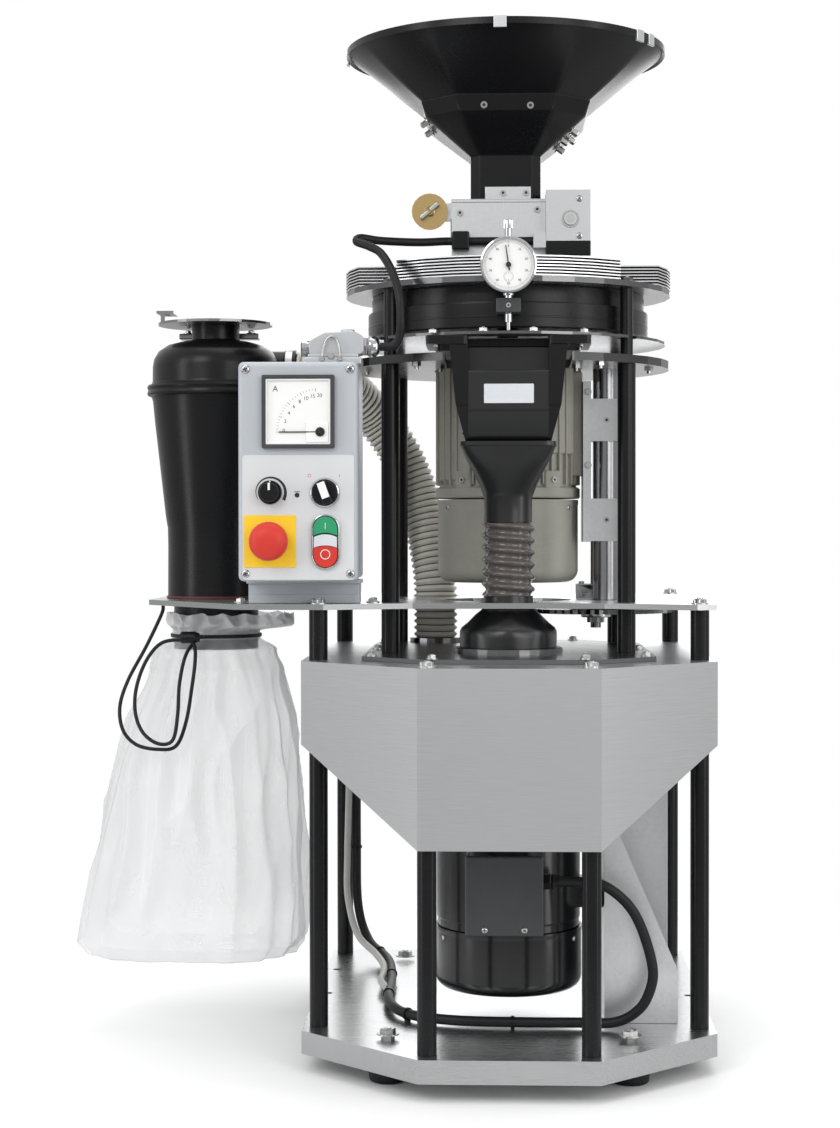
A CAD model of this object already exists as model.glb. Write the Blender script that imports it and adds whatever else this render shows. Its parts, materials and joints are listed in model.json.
"""Grain mill with a hopper, a blower, a cyclone and a husk bag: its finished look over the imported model."""

import json
import math

import bmesh
import bpy
from mathutils import Matrix, Vector, noise
from mathutils.bvhtree import BVHTree

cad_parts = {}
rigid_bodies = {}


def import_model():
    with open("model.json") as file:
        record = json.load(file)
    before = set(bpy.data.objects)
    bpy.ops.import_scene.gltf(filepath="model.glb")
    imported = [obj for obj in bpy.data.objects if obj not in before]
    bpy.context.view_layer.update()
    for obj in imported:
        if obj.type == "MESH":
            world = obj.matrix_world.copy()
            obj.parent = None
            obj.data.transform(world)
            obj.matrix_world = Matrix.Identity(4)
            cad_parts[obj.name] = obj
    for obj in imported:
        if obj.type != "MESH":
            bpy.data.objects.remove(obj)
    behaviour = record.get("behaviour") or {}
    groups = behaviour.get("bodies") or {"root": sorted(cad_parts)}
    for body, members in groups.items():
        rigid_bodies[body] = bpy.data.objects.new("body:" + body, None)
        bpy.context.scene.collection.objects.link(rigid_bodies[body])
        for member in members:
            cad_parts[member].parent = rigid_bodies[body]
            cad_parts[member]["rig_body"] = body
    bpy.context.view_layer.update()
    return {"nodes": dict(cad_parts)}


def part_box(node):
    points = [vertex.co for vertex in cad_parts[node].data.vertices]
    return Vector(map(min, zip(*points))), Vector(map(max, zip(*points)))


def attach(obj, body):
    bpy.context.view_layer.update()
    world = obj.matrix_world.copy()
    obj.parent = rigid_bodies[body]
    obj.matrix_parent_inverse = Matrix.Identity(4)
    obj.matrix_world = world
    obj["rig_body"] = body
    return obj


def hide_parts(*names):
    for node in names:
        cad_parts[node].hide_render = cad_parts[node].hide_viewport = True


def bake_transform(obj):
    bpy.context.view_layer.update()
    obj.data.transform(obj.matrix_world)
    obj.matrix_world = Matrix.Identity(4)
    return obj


bl_info = {
    "name": "Grain Mill Finisher",
    "version": (1, 0, 0),
    "blender": (4, 5, 0),
    "location": "3D View > Sidebar > Mill",
    "description": "Builds the detailed pieces and materials of a grain mill over its frame",
    "category": "Object",
}

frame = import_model()
HEAD_Y = 0.11
DRUM_LOW, DRUM_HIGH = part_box("drum")
MILL = Vector(((DRUM_LOW.x + DRUM_HIGH.x) / 2, (DRUM_LOW.y + DRUM_HIGH.y) / 2 - HEAD_Y, 0.0))
SHIFT = Matrix.Translation(MILL)

# The photograph's camera, in the frame's metres
PHOTO_WIDTH = 840
PHOTO_HEIGHT = 1128
FOCAL_PIXELS = 2201.8
SENSOR = 36.0
CAMERA_PLACE = Vector((0.1302, -2.5062, 0.5754))
CAMERA_TURN = (math.radians(89.19), math.radians(0.05), math.radians(2.05))

# Plan places that several pieces share, in the mill's own coordinates
SPINDLE = (0.1015, 0.118)
CYCLONE_AXIS = (-0.3434, 0.155)
BAG_TOP, BAG_NECK, BAG_LOW = 0.483, 0.4552, 0.085

# Routes chosen by hand, as points in metres
SENSOR_CABLE_ROUTE = (
    (0.0282, 0.0525, 0.9035), (-0.015, 0.0525, 0.9035), (-0.045, 0.0525, 0.9035), (-0.061, 0.0525, 0.9035),
    (-0.072, 0.0523, 0.9035), (-0.1, 0.033, 0.9), (-0.14, 0.007, 0.8985), (-0.162, -0.006, 0.9),
    (-0.166, -0.013, 0.895), (-0.153, -0.023, 0.889), (-0.138, -0.035, 0.879), (-0.124, -0.06, 0.854),
    (-0.1165, -0.072, 0.828), (-0.115, -0.074, 0.802), (-0.1165, -0.0715, 0.787), (-0.1215, -0.0702, 0.7772),
    (-0.1285, -0.07, 0.775), (-0.1377, -0.07, 0.775),
)
MOTOR_CABLE_ROUTE = (
    (0.0535, -0.09, 0.2045), (0.07, -0.091, 0.2045), (0.087, -0.093, 0.2035), (0.105, -0.095, 0.199),
    (0.128, -0.094, 0.179), (0.143, -0.092, 0.15), (0.153, -0.09, 0.111), (0.149, -0.087, 0.085),
    (0.137, -0.085, 0.066), (0.113, -0.082, 0.053), (0.07, -0.076, 0.051), (0.01, -0.076, 0.051),
    (-0.062, -0.068, 0.051), (-0.112, -0.04, 0.052), (-0.133, 0.02, 0.054), (-0.136, 0.14, 0.054),
    (-0.145, 0.24, 0.056), (-0.172, 0.295, 0.07), (-0.187, 0.322, 0.11), (-0.189, 0.326, 0.19),
    (-0.189, 0.326, 0.28), (-0.189, 0.326, 0.3475),
)
SUCTION_HOSE_ROUTE = (
    (-0.2517, 0.203, 0.7665), (-0.225, 0.203, 0.7665), (-0.205, 0.213, 0.76), (-0.184, 0.238, 0.742),
    (-0.16, 0.259, 0.715), (-0.135, 0.264, 0.68), (-0.118, 0.262, 0.645), (-0.104, 0.256, 0.605),
    (-0.094, 0.247, 0.56), (-0.088, 0.24, 0.52), (-0.087, 0.238, 0.485), (-0.087, 0.238, 0.4491),
)
BAG_CORD_ROUTE = (
    (-0.396, 0.088, 0.4927), (-0.398, 0.087, 0.482), (-0.414, 0.078, 0.446), (-0.433, 0.066, 0.408),
    (-0.441, 0.056, 0.378), (-0.436, 0.048, 0.352), (-0.42, 0.044, 0.336), (-0.395, 0.042, 0.331),
    (-0.375, 0.043, 0.335), (-0.364, 0.046, 0.362), (-0.358, 0.05, 0.4), (-0.355, 0.056, 0.43),
    (-0.358, 0.068, 0.448), (-0.37, 0.072, 0.453), (-0.395, 0.07, 0.45), (-0.412, 0.064, 0.43),
    (-0.422, 0.056, 0.4), (-0.422, 0.048, 0.372), (-0.412, 0.04, 0.35), (-0.394, 0.036, 0.338),
    (-0.378, 0.037, 0.342), (-0.373, 0.042, 0.37), (-0.372, 0.05, 0.405), (-0.366, 0.06, 0.437),
    (-0.355, 0.076, 0.4545), (-0.352, 0.09, 0.4552), (-0.352, 0.1035, 0.4552),
)


def span(node):
    """A node's lowest and highest corners in the mill's own coordinates."""
    low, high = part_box(node)
    return low - MILL, high - MILL


def standing(node):
    """An upright node's lowest and highest corners and the plan place of its axis."""
    low, high = span(node)
    return low, high, ((low.x + high.x) / 2, (low.y + high.y) / 2)


def blend_value(first, second, share):
    return first + (second - first) * share


def rounded_corners(points, radius, steps=3, closed=True):
    """Replace each corner of a line by a short curve."""
    if radius <= 0:
        return [tuple(point) for point in points]
    places = [Vector(point) for point in points]
    count = len(places)
    result = []
    for index, place in enumerate(places):
        if not closed and index in (0, count - 1):
            result.append(tuple(place))
            continue
        before = places[index - 1] - place
        after = places[(index + 1) % count] - place
        start = place + before.normalized() * min(radius, before.length * 0.45)
        end = place + after.normalized() * min(radius, after.length * 0.45)
        for step in range(steps + 1):
            share = step / steps
            first = start.lerp(place, share)
            second = place.lerp(end, share)
            result.append(tuple(first.lerp(second, share)))
    return result


def circle(centre, radius, sides=64, turn=0.0):
    return [
        (centre[0] + radius * math.cos(turn + math.tau * step / sides),
         centre[1] + radius * math.sin(turn + math.tau * step / sides))
        for step in range(sides)
    ]


def rectangle(left, low, right, high, bend=0.0, steps=3):
    return rounded_corners([(left, low), (right, low), (right, high), (left, high)], bend, steps)


def slot_outline(centre, half_length, radius, turn=math.pi / 2, steps=24):
    """A long hole with round ends, upright unless turned."""
    points = []
    for end, start in ((1, -math.pi / 2), (-1, math.pi / 2)):
        for step in range(steps + 1):
            angle = start + math.pi * step / steps
            across = end * half_length + radius * math.cos(angle)
            along = radius * math.sin(angle)
            points.append((
                centre[0] + across * math.cos(turn) - along * math.sin(turn),
                centre[1] + across * math.sin(turn) + along * math.cos(turn),
            ))
    return points


def placed(point, height, axis):
    """A plan point and a height as a point in space, for a solid that stands along an axis."""
    if axis == "X":
        return Vector((height, point[0], point[1]))
    if axis == "Y":
        return Vector((point[0], height, point[1]))
    return Vector((point[0], point[1], height))


def level(outline, height, axis="Z"):
    """An outline raised to a height along an axis."""
    return [placed(point, height, axis) for point in outline]


AXIS_TURNS = {
    "Z": Matrix.Identity(4),
    "Y": Matrix(((1, 0, 0, 0), (0, 0, 1, 0), (0, 1, 0, 0), (0, 0, 0, 1))),
    "X": Matrix(((0, 0, 1, 0), (1, 0, 0, 0), (0, 1, 0, 0), (0, 0, 0, 1))),
}
READ_FROM_FRONT = Matrix(((1, 0, 0, 0), (0, 0, -1, 0), (0, 1, 0, 0), (0, 0, 0, 1)))


def smooth_route(points, samples=600):
    """A smooth curve through route points, as evenly spaced samples."""
    route = [Vector(point) for point in points]
    padded = [route[0] * 2 - route[1]] + route + [route[-1] * 2 - route[-2]]
    fine = []
    per_span = max(math.ceil(samples / (len(route) - 1)), 2)
    for index in range(len(route) - 1):
        before, start, end, after = padded[index:index + 4]
        for step in range(per_span):
            t = step / per_span
            fine.append(0.5 * (
                (2 * start) + (end - before) * t
                + (2 * before - 5 * start + 4 * end - after) * t ** 2
                + (3 * start - before - 3 * end + after) * t ** 3))
    fine.append(route[-1])
    return fine


def route_length(fine):
    return sum((second - first).length for first, second in zip(fine, fine[1:]))


def spaced(fine, count):
    """Points at even distances along a finely read route."""
    lengths = [0.0]
    for first, second in zip(fine, fine[1:]):
        lengths.append(lengths[-1] + (second - first).length)
    result = []
    index = 0
    for step in range(count + 1):
        distance = lengths[-1] * step / count
        while index < len(lengths) - 2 and lengths[index + 1] < distance:
            index += 1
        gap = lengths[index + 1] - lengths[index]
        share = (distance - lengths[index]) / gap if gap > 0 else 0.0
        result.append(fine[index].lerp(fine[index + 1], min(max(share, 0.0), 1.0)))
    return result


def sight_line(across, down):
    """Camera place and direction through a pixel of the photograph."""
    turn = Matrix.Rotation(CAMERA_TURN[2], 3, "Z") @ Matrix.Rotation(CAMERA_TURN[1], 3, "Y")
    turn = turn @ Matrix.Rotation(CAMERA_TURN[0], 3, "X")
    ray = Vector(((across - PHOTO_WIDTH / 2) / FOCAL_PIXELS, -(down - PHOTO_HEIGHT / 2) / FOCAL_PIXELS, -1.0))
    return CAMERA_PLACE, (turn @ ray).normalized()


def seen_on(piece, across, down):
    """Where a pixel's sight line meets a piece, with the surface normal, in the mill's coordinates."""
    graph = bpy.context.evaluated_depsgraph_get()
    tree = BVHTree.FromObject(piece, graph)
    place, direction = sight_line(across, down)
    point, normal, _, _ = tree.ray_cast(place, direction)
    if point is None:
        raise RuntimeError(f"pixel {across}, {down} misses {piece.name}")
    if normal.dot(direction) > 0:
        normal = -normal
    return point - MILL, normal


def facing(point, normal, turn=0.0):
    """Placement that stands a fastener on a surface."""
    turned_to = Vector(normal).to_track_quat("Z", "Y").to_matrix().to_4x4()
    return Matrix.Translation(Vector(point)) @ turned_to @ Matrix.Rotation(turn, 4, "Z")


def round_shell(centre, radius, places):
    """Placements on a round shell, each from its angle off the front and its height."""
    result = []
    for degrees, z in places:
        turn = math.radians(degrees)
        normal = Vector((math.sin(turn), -math.cos(turn), 0.0))
        result.append(facing(Vector((*centre, z)) + normal * radius, normal, degrees))
    return result


def part_from_curve(curve, paint):
    """A curve's mesh as a bmesh in one paint; the curve is removed."""
    item = bpy.data.objects.new("curve", curve)
    bpy.context.scene.collection.objects.link(item)
    mesh = bpy.data.meshes.new_from_object(item.evaluated_get(bpy.context.evaluated_depsgraph_get()))
    bpy.data.objects.remove(item)
    bpy.data.curves.remove(curve)
    part = bmesh.new()
    part.from_mesh(mesh)
    bpy.data.meshes.remove(mesh)
    for face in part.faces:
        face.material_index = paint
    return part


class Workpiece:
    """A mesh gathered from simple solids, in the mill's own coordinates."""

    def __init__(self):
        self.data = bmesh.new()

    def rings(self, rings, paint=0, ends=True, around=False):
        loops = [[self.data.verts.new(point) for point in ring] for ring in rings]
        pairs = list(zip(loops, loops[1:]))
        faces = []
        if around:
            pairs.append((loops[-1], loops[0]))
        elif ends:
            faces += [self.data.faces.new(loops[0]), self.data.faces.new(loops[-1])]
        for lower, upper in pairs:
            for index, vertex in enumerate(lower):
                after = (index + 1) % len(lower)
                faces.append(self.data.faces.new((vertex, lower[after], upper[after], upper[index])))
        for face in faces:
            face.material_index = paint if isinstance(paint, int) else 0
        if not isinstance(paint, int):
            start = 2 if ends and not around else 0
            for number, face in enumerate(faces[start:]):
                face.material_index = paint[number // len(loops[0])]
        return self

    def turned(self, profile, place=(0.0, 0.0), axis="Z", sides=64, paint=0, bend=0.0, around=False):
        line = rounded_corners(profile, bend, closed=around)
        rings = [level(circle(place, radius, sides), height, axis) for radius, height in line]
        return self.rings(rings, paint, around=around)

    def prism(self, outline, low, high, axis="Z", paint=0, bend=0.0):
        plan = rounded_corners(outline, bend)
        return self.rings([level(plan, height, axis) for height in (low, high)], paint)

    def block(self, low, high, paint=0, bend=0.0):
        """A box whose edges are all rounded alike."""
        part = bmesh.new()
        bmesh.ops.create_cube(part, size=1.0)
        size = Vector(high) - Vector(low)
        bmesh.ops.scale(part, vec=size, verts=part.verts)
        bmesh.ops.translate(part, vec=(Vector(high) + Vector(low)) / 2, verts=part.verts)
        if bend:
            bmesh.ops.bevel(part, geom=part.edges[:], offset=bend, segments=3, profile=0.5, affect="EDGES")
        for face in part.faces:
            face.material_index = paint
        return self.take(part)

    def take(self, part, matrix=None):
        """Copy another bmesh in, then free it."""
        mesh = bpy.data.meshes.new("part")
        part.to_mesh(mesh)
        part.free()
        self.stamp(mesh, matrix)
        bpy.data.meshes.remove(mesh)
        return self

    def stamp(self, mesh, matrix=None):
        """Copy a mesh in at a place."""
        before = len(self.data.verts)
        self.data.from_mesh(mesh)
        if matrix is not None:
            self.data.verts.ensure_lookup_table()
            bmesh.ops.transform(self.data, matrix=matrix, verts=self.data.verts[before:])
        return self

    def sheet(self, outlines, low, high, axis="Z", edge=0.0004, paint=0):
        """A flat plate cut to an outline, with holes, its rims lightly rounded."""
        curve = bpy.data.curves.new("sheet", "CURVE")
        curve.dimensions = "2D"
        curve.fill_mode = "BOTH"
        curve.extrude = (high - low) / 2 - edge
        curve.bevel_depth = edge
        curve.bevel_resolution = 1
        curve.offset = -edge
        for number, outline in enumerate(outlines):
            area = sum(p[0] * q[1] - q[0] * p[1] for p, q in zip(outline, outline[1:] + outline[:1]))
            if (area < 0) == (number == 0):
                outline = outline[::-1]
            spline = curve.splines.new("POLY")
            spline.points.add(len(outline) - 1)
            for target, point in zip(spline.points, outline):
                target.co = (point[0], point[1], 0.0, 1.0)
            spline.use_cyclic_u = True
        part = part_from_curve(curve, paint)
        bmesh.ops.remove_doubles(part, verts=part.verts, dist=0.00001)
        middle = Matrix.Translation((0.0, 0.0, (low + high) / 2))
        return self.take(part, AXIS_TURNS[axis] @ middle)

    def tube(self, points, radius, sides=16, paint=0):
        """A round bar swept along points; the radius may be one number or one for each point."""
        points = [Vector(point) for point in points]
        radii = radius if isinstance(radius, (list, tuple)) else [radius] * len(points)
        along = (points[1] - points[0]).normalized()
        side = along.orthogonal().normalized()
        rings = []
        for index, point in enumerate(points):
            first = points[max(index - 1, 0)]
            last = points[min(index + 1, len(points) - 1)]
            heading = (last - first).normalized()
            side = (along.rotation_difference(heading) @ side)
            side = (side - heading * side.dot(heading)).normalized()
            up = heading.cross(side)
            along = heading
            rings.append([point + (side * math.cos(a) + up * math.sin(a)) * radii[index]
                          for a in (math.tau * step / sides for step in range(sides))])
        return self.rings(rings, paint)

    def words(self, text, size, place, paint=0):
        """A plain numeral or sign, printed on a face that looks to the front."""
        curve = bpy.data.curves.new("print", "FONT")
        curve.body = text
        curve.size = size
        curve.align_x = "CENTER"
        curve.align_y = "CENTER"
        curve.extrude = 0.00005
        curve.resolution_u = 3
        return self.take(part_from_curve(curve, paint), Matrix.Translation(Vector(place)) @ READ_FROM_FRONT)

    def show(self, name, materials, body="frame", nodes=(), slot=None, edge=0.0, sharp=35.0):
        """Finish the mesh as a piece that rides on a body and stands for CAD nodes."""
        bmesh.ops.recalc_face_normals(self.data, faces=self.data.faces)
        mesh = bpy.data.meshes.new(name)
        self.data.to_mesh(mesh)
        self.data.free()
        mesh.transform(SHIFT)
        for material in materials:
            mesh.materials.append(material)
        mesh.shade_smooth()
        mesh.set_sharp_from_angle(angle=math.radians(sharp))
        piece = bpy.data.objects.new(name, mesh)
        bpy.context.scene.collection.objects.link(piece)
        if edge:
            rim = piece.modifiers.new("rim", "BEVEL")
            rim.width = edge
            rim.segments = 2
            rim.limit_method = "ANGLE"
            rim.angle_limit = math.radians(40)
            rim.harden_normals = True
        even = piece.modifiers.new("even_shading", "WEIGHTED_NORMAL")
        even.keep_sharp = True
        if body:
            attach(piece, body)
        if nodes:
            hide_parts(*nodes)
        return piece


def template(build):
    """Run a builder on a new workpiece and keep its mesh for stamping."""
    work = Workpiece()
    build(work)
    bmesh.ops.recalc_face_normals(work.data, faces=work.data.faces)
    mesh = bpy.data.meshes.new("template")
    work.data.to_mesh(mesh)
    work.data.free()
    return mesh


def hexagon_bolt(radius, height, washer=0.0):
    """Hexagon head with a chamfered top on a washer."""
    def build(work):
        base = 0.0
        if washer:
            work.turned([(washer, -0.0002), (washer, 0.0012)], sides=32)
            base = 0.0012
        work.rings([level(circle((0, 0), across, 6), up) for across, up in
                    ((radius, base), (radius, base + height * 0.82), (radius * 0.86, base + height))])
        work.turned([(radius * 0.45, base + height - 0.0002), (radius * 0.45, base + height + radius * 0.12)],
                    sides=16)
    return template(build)


def hexagon_nut(radius, height):
    """Nut with the end of its bolt standing out."""
    def build(work):
        work.prism(circle((0, 0), radius, 6), 0.0, height)
        work.turned([(radius * 0.5, height - 0.0002), (radius * 0.5, height + radius * 0.6)], sides=16,
                    bend=radius * 0.1)
    return template(build)


def socket_screw(radius, height):
    """Cylinder head with a dark hexagon socket."""
    def build(work):
        work.turned([(radius, -0.0002), (radius, height)], sides=32, bend=radius * 0.12)
        work.prism(circle((0, 0), radius * 0.5, 6), height - 0.0004, height + 0.0001, paint=1)
    return template(build)


def cross_screw(radius, height):
    """Domed head with a dark cross recess."""
    def build(work):
        dome = [(radius, -0.0002), (radius, height * 0.3), (radius * 0.75, height * 0.8), (radius * 0.3, height)]
        work.turned(dome, sides=32, bend=radius * 0.15)
        arm = radius * 0.11
        reach = radius * 0.55
        work.block((-reach, -arm, height * 0.5), (reach, arm, height + 0.0001), paint=1)
        work.block((-arm, -reach, height * 0.5), (arm, reach, height + 0.0001), paint=1)
    return template(build)


# ---- Sizes and colours

def colour_field(name, description, value):
    return bpy.props.FloatVectorProperty(name=name, description=description, subtype="COLOR", size=3, default=value)


class MillColours(bpy.types.PropertyGroup):
    """Colours as they look on the real mill."""

    steel: colour_field("Sheet steel", "Brushed stainless sheet", (0.64, 0.65, 0.655))
    bright: colour_field("Bright steel", "Polished plates and fins", (0.74, 0.74, 0.75))
    zinc: colour_field("Zinc", "Plated bolts, nuts and blocks", (0.55, 0.55, 0.54))
    black: colour_field("Black", "Coated columns and moulded black plastic", (0.0052, 0.0053, 0.006))
    motor_grey: colour_field("Motor grey", "Cast housing of the mill's motor", (0.36, 0.35, 0.305))
    enamel: colour_field("Enamel grey", "Painted control box", (0.42, 0.445, 0.475))
    hose: colour_field("Hose beige", "Ribbed suction hose", (0.62, 0.6, 0.545))
    brass: colour_field("Brass", "Dosing disc", (0.56, 0.4, 0.18))
    red: colour_field("Signal red", "Stop button and mushroom", (0.72, 0.055, 0.04))
    green: colour_field("Signal green", "Start button", (0.02, 0.3, 0.13))
    yellow: colour_field("Signal yellow", "Plate behind the emergency stop", (0.87, 0.56, 0.02))


class MillSizes(bpy.types.PropertyGroup):
    """Small finishing sizes, in metres."""

    rib_depth: bpy.props.FloatProperty(
        name="Cooling rib depth", description="How far the motor's ribs stand out", default=0.0045, unit="LENGTH")
    rib_count: bpy.props.IntProperty(
        name="Cooling ribs", description="Ribs round the mill's motor", default=44)
    hose_pitch: bpy.props.FloatProperty(
        name="Hose rib pitch", description="Distance between two ribs of the suction hose", default=0.0078,
        unit="LENGTH")
    film_fold: bpy.props.FloatProperty(
        name="Bag fold", description="Depth of the folds in the bag's film", default=0.0065, unit="LENGTH")


# ---- Materials

PAINT = {}


def grain_group():
    """Uneven colour, roughness and relief from two sizes of noise, stretched along a brushing direction."""
    group = bpy.data.node_groups.new("Surface grain", "ShaderNodeTree")
    for name, kind in (
        ("Colour", "NodeSocketColor"), ("Shade", "NodeSocketColor"), ("Roughness", "NodeSocketFloat"),
        ("Spread", "NodeSocketFloat"), ("Scale", "NodeSocketFloat"), ("Stretch", "NodeSocketVector"),
        ("Patches", "NodeSocketFloat"),
    ):
        group.interface.new_socket(name=name, in_out="INPUT", socket_type=kind)
    for name, kind in (("Colour", "NodeSocketColor"), ("Roughness", "NodeSocketFloat"), ("Height", "NodeSocketFloat")):
        group.interface.new_socket(name=name, in_out="OUTPUT", socket_type=kind)
    nodes = group.nodes
    links = group.links
    given = nodes.new("NodeGroupInput")
    out = nodes.new("NodeGroupOutput")
    place = nodes.new("ShaderNodeTexCoord")
    stretch = nodes.new("ShaderNodeVectorMath")
    stretch.operation = "MULTIPLY"
    links.new(place.outputs["Object"], stretch.inputs[0])
    links.new(given.outputs["Stretch"], stretch.inputs[1])
    fine = nodes.new("ShaderNodeTexNoise")
    fine.inputs["Detail"].default_value = 5.0
    links.new(stretch.outputs[0], fine.inputs["Vector"])
    links.new(given.outputs["Scale"], fine.inputs["Scale"])
    patch = nodes.new("ShaderNodeTexNoise")
    patch.inputs["Detail"].default_value = 3.0
    patch.inputs["Roughness"].default_value = 0.6
    links.new(place.outputs["Object"], patch.inputs["Vector"])
    links.new(given.outputs["Patches"], patch.inputs["Scale"])
    both = nodes.new("ShaderNodeMath")
    both.operation = "MULTIPLY"
    links.new(fine.outputs[0], both.inputs[0])
    links.new(patch.outputs[0], both.inputs[1])
    spread = nodes.new("ShaderNodeMapRange")
    spread.inputs["From Min"].default_value = 0.12
    spread.inputs["From Max"].default_value = 0.42
    links.new(both.outputs[0], spread.inputs["Value"])
    tone = nodes.new("ShaderNodeMix")
    tone.data_type = "RGBA"
    links.new(spread.outputs[0], tone.inputs["Factor"])
    links.new(given.outputs["Colour"], tone.inputs["A"])
    links.new(given.outputs["Shade"], tone.inputs["B"])
    rough = nodes.new("ShaderNodeMath")
    rough.operation = "MULTIPLY_ADD"
    links.new(spread.outputs[0], rough.inputs[0])
    links.new(given.outputs["Spread"], rough.inputs[1])
    links.new(given.outputs["Roughness"], rough.inputs[2])
    links.new(tone.outputs["Result"], out.inputs["Colour"])
    links.new(rough.outputs[0], out.inputs["Roughness"])
    links.new(fine.outputs[0], out.inputs["Height"])
    return group


def finish(name, colour, shade=0.8, metal=0.0, rough=0.4, spread=0.12, scale=500.0, stretch=(1, 1, 1),
           patches=14.0, relief=0.06, depth=0.0003, coat=0.0, shine=0.5, side_tone=None):
    """A material whose tone, gloss and relief vary; side_tone multiplies the tone of upright faces."""
    material = bpy.data.materials.new(name)
    material.use_nodes = True
    nodes = material.node_tree.nodes
    links = material.node_tree.links
    shader = nodes["Principled BSDF"]
    grain = nodes.new("ShaderNodeGroup")
    grain.node_tree = PAINT["grain"]
    grain.inputs["Colour"].default_value = (*colour, 1.0)
    grain.inputs["Shade"].default_value = (*[min(value * shade, 1.0) for value in colour], 1.0)
    grain.inputs["Roughness"].default_value = max(rough - spread / 2, 0.02)
    grain.inputs["Spread"].default_value = spread
    grain.inputs["Scale"].default_value = scale
    grain.inputs["Stretch"].default_value = stretch
    grain.inputs["Patches"].default_value = patches
    bump = nodes.new("ShaderNodeBump")
    bump.inputs["Strength"].default_value = relief
    bump.inputs["Distance"].default_value = depth
    if side_tone is None:
        links.new(grain.outputs["Colour"], shader.inputs["Base Color"])
    else:
        facing_way = nodes.new("ShaderNodeNewGeometry")
        split = nodes.new("ShaderNodeSeparateXYZ")
        upward = nodes.new("ShaderNodeMath")
        upward.operation = "ABSOLUTE"
        edgewise = nodes.new("ShaderNodeMath")
        edgewise.operation = "SUBTRACT"
        edgewise.inputs[0].default_value = 1.0
        tone = nodes.new("ShaderNodeMix")
        tone.data_type = "RGBA"
        tone.blend_type = "MULTIPLY"
        tone.inputs["B"].default_value = (side_tone, side_tone, side_tone, 1.0)
        links.new(facing_way.outputs["True Normal"], split.inputs[0])
        links.new(split.outputs["Z"], upward.inputs[0])
        links.new(upward.outputs[0], edgewise.inputs[1])
        links.new(edgewise.outputs[0], tone.inputs["Factor"])
        links.new(grain.outputs["Colour"], tone.inputs["A"])
        links.new(tone.outputs["Result"], shader.inputs["Base Color"])
    links.new(grain.outputs["Roughness"], shader.inputs["Roughness"])
    links.new(grain.outputs["Height"], bump.inputs["Height"])
    links.new(bump.outputs["Normal"], shader.inputs["Normal"])
    shader.inputs["Metallic"].default_value = metal
    shader.inputs["Specular IOR Level"].default_value = shine
    shader.inputs["Coat Weight"].default_value = coat
    shader.inputs["Coat Roughness"].default_value = 0.08
    shader.inputs["IOR"].default_value = 1.45
    PAINT[name] = material
    return material


def film(name, colour, thin, thick):
    """Thin clear plastic: more is seen of it where it stands edge-on."""
    material = finish(name, colour, shade=0.97, rough=0.26, spread=0.1, scale=14.0, patches=7.0, relief=0.5,
                      depth=0.005)
    nodes = material.node_tree.nodes
    links = material.node_tree.links
    edge = nodes.new("ShaderNodeLayerWeight")
    edge.inputs["Blend"].default_value = 0.36
    fade = nodes.new("ShaderNodeMapRange")
    fade.inputs["To Min"].default_value = thin
    fade.inputs["To Max"].default_value = thick
    links.new(edge.outputs["Facing"], fade.inputs["Value"])
    links.new(fade.outputs[0], nodes["Principled BSDF"].inputs["Alpha"])
    return material


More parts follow.
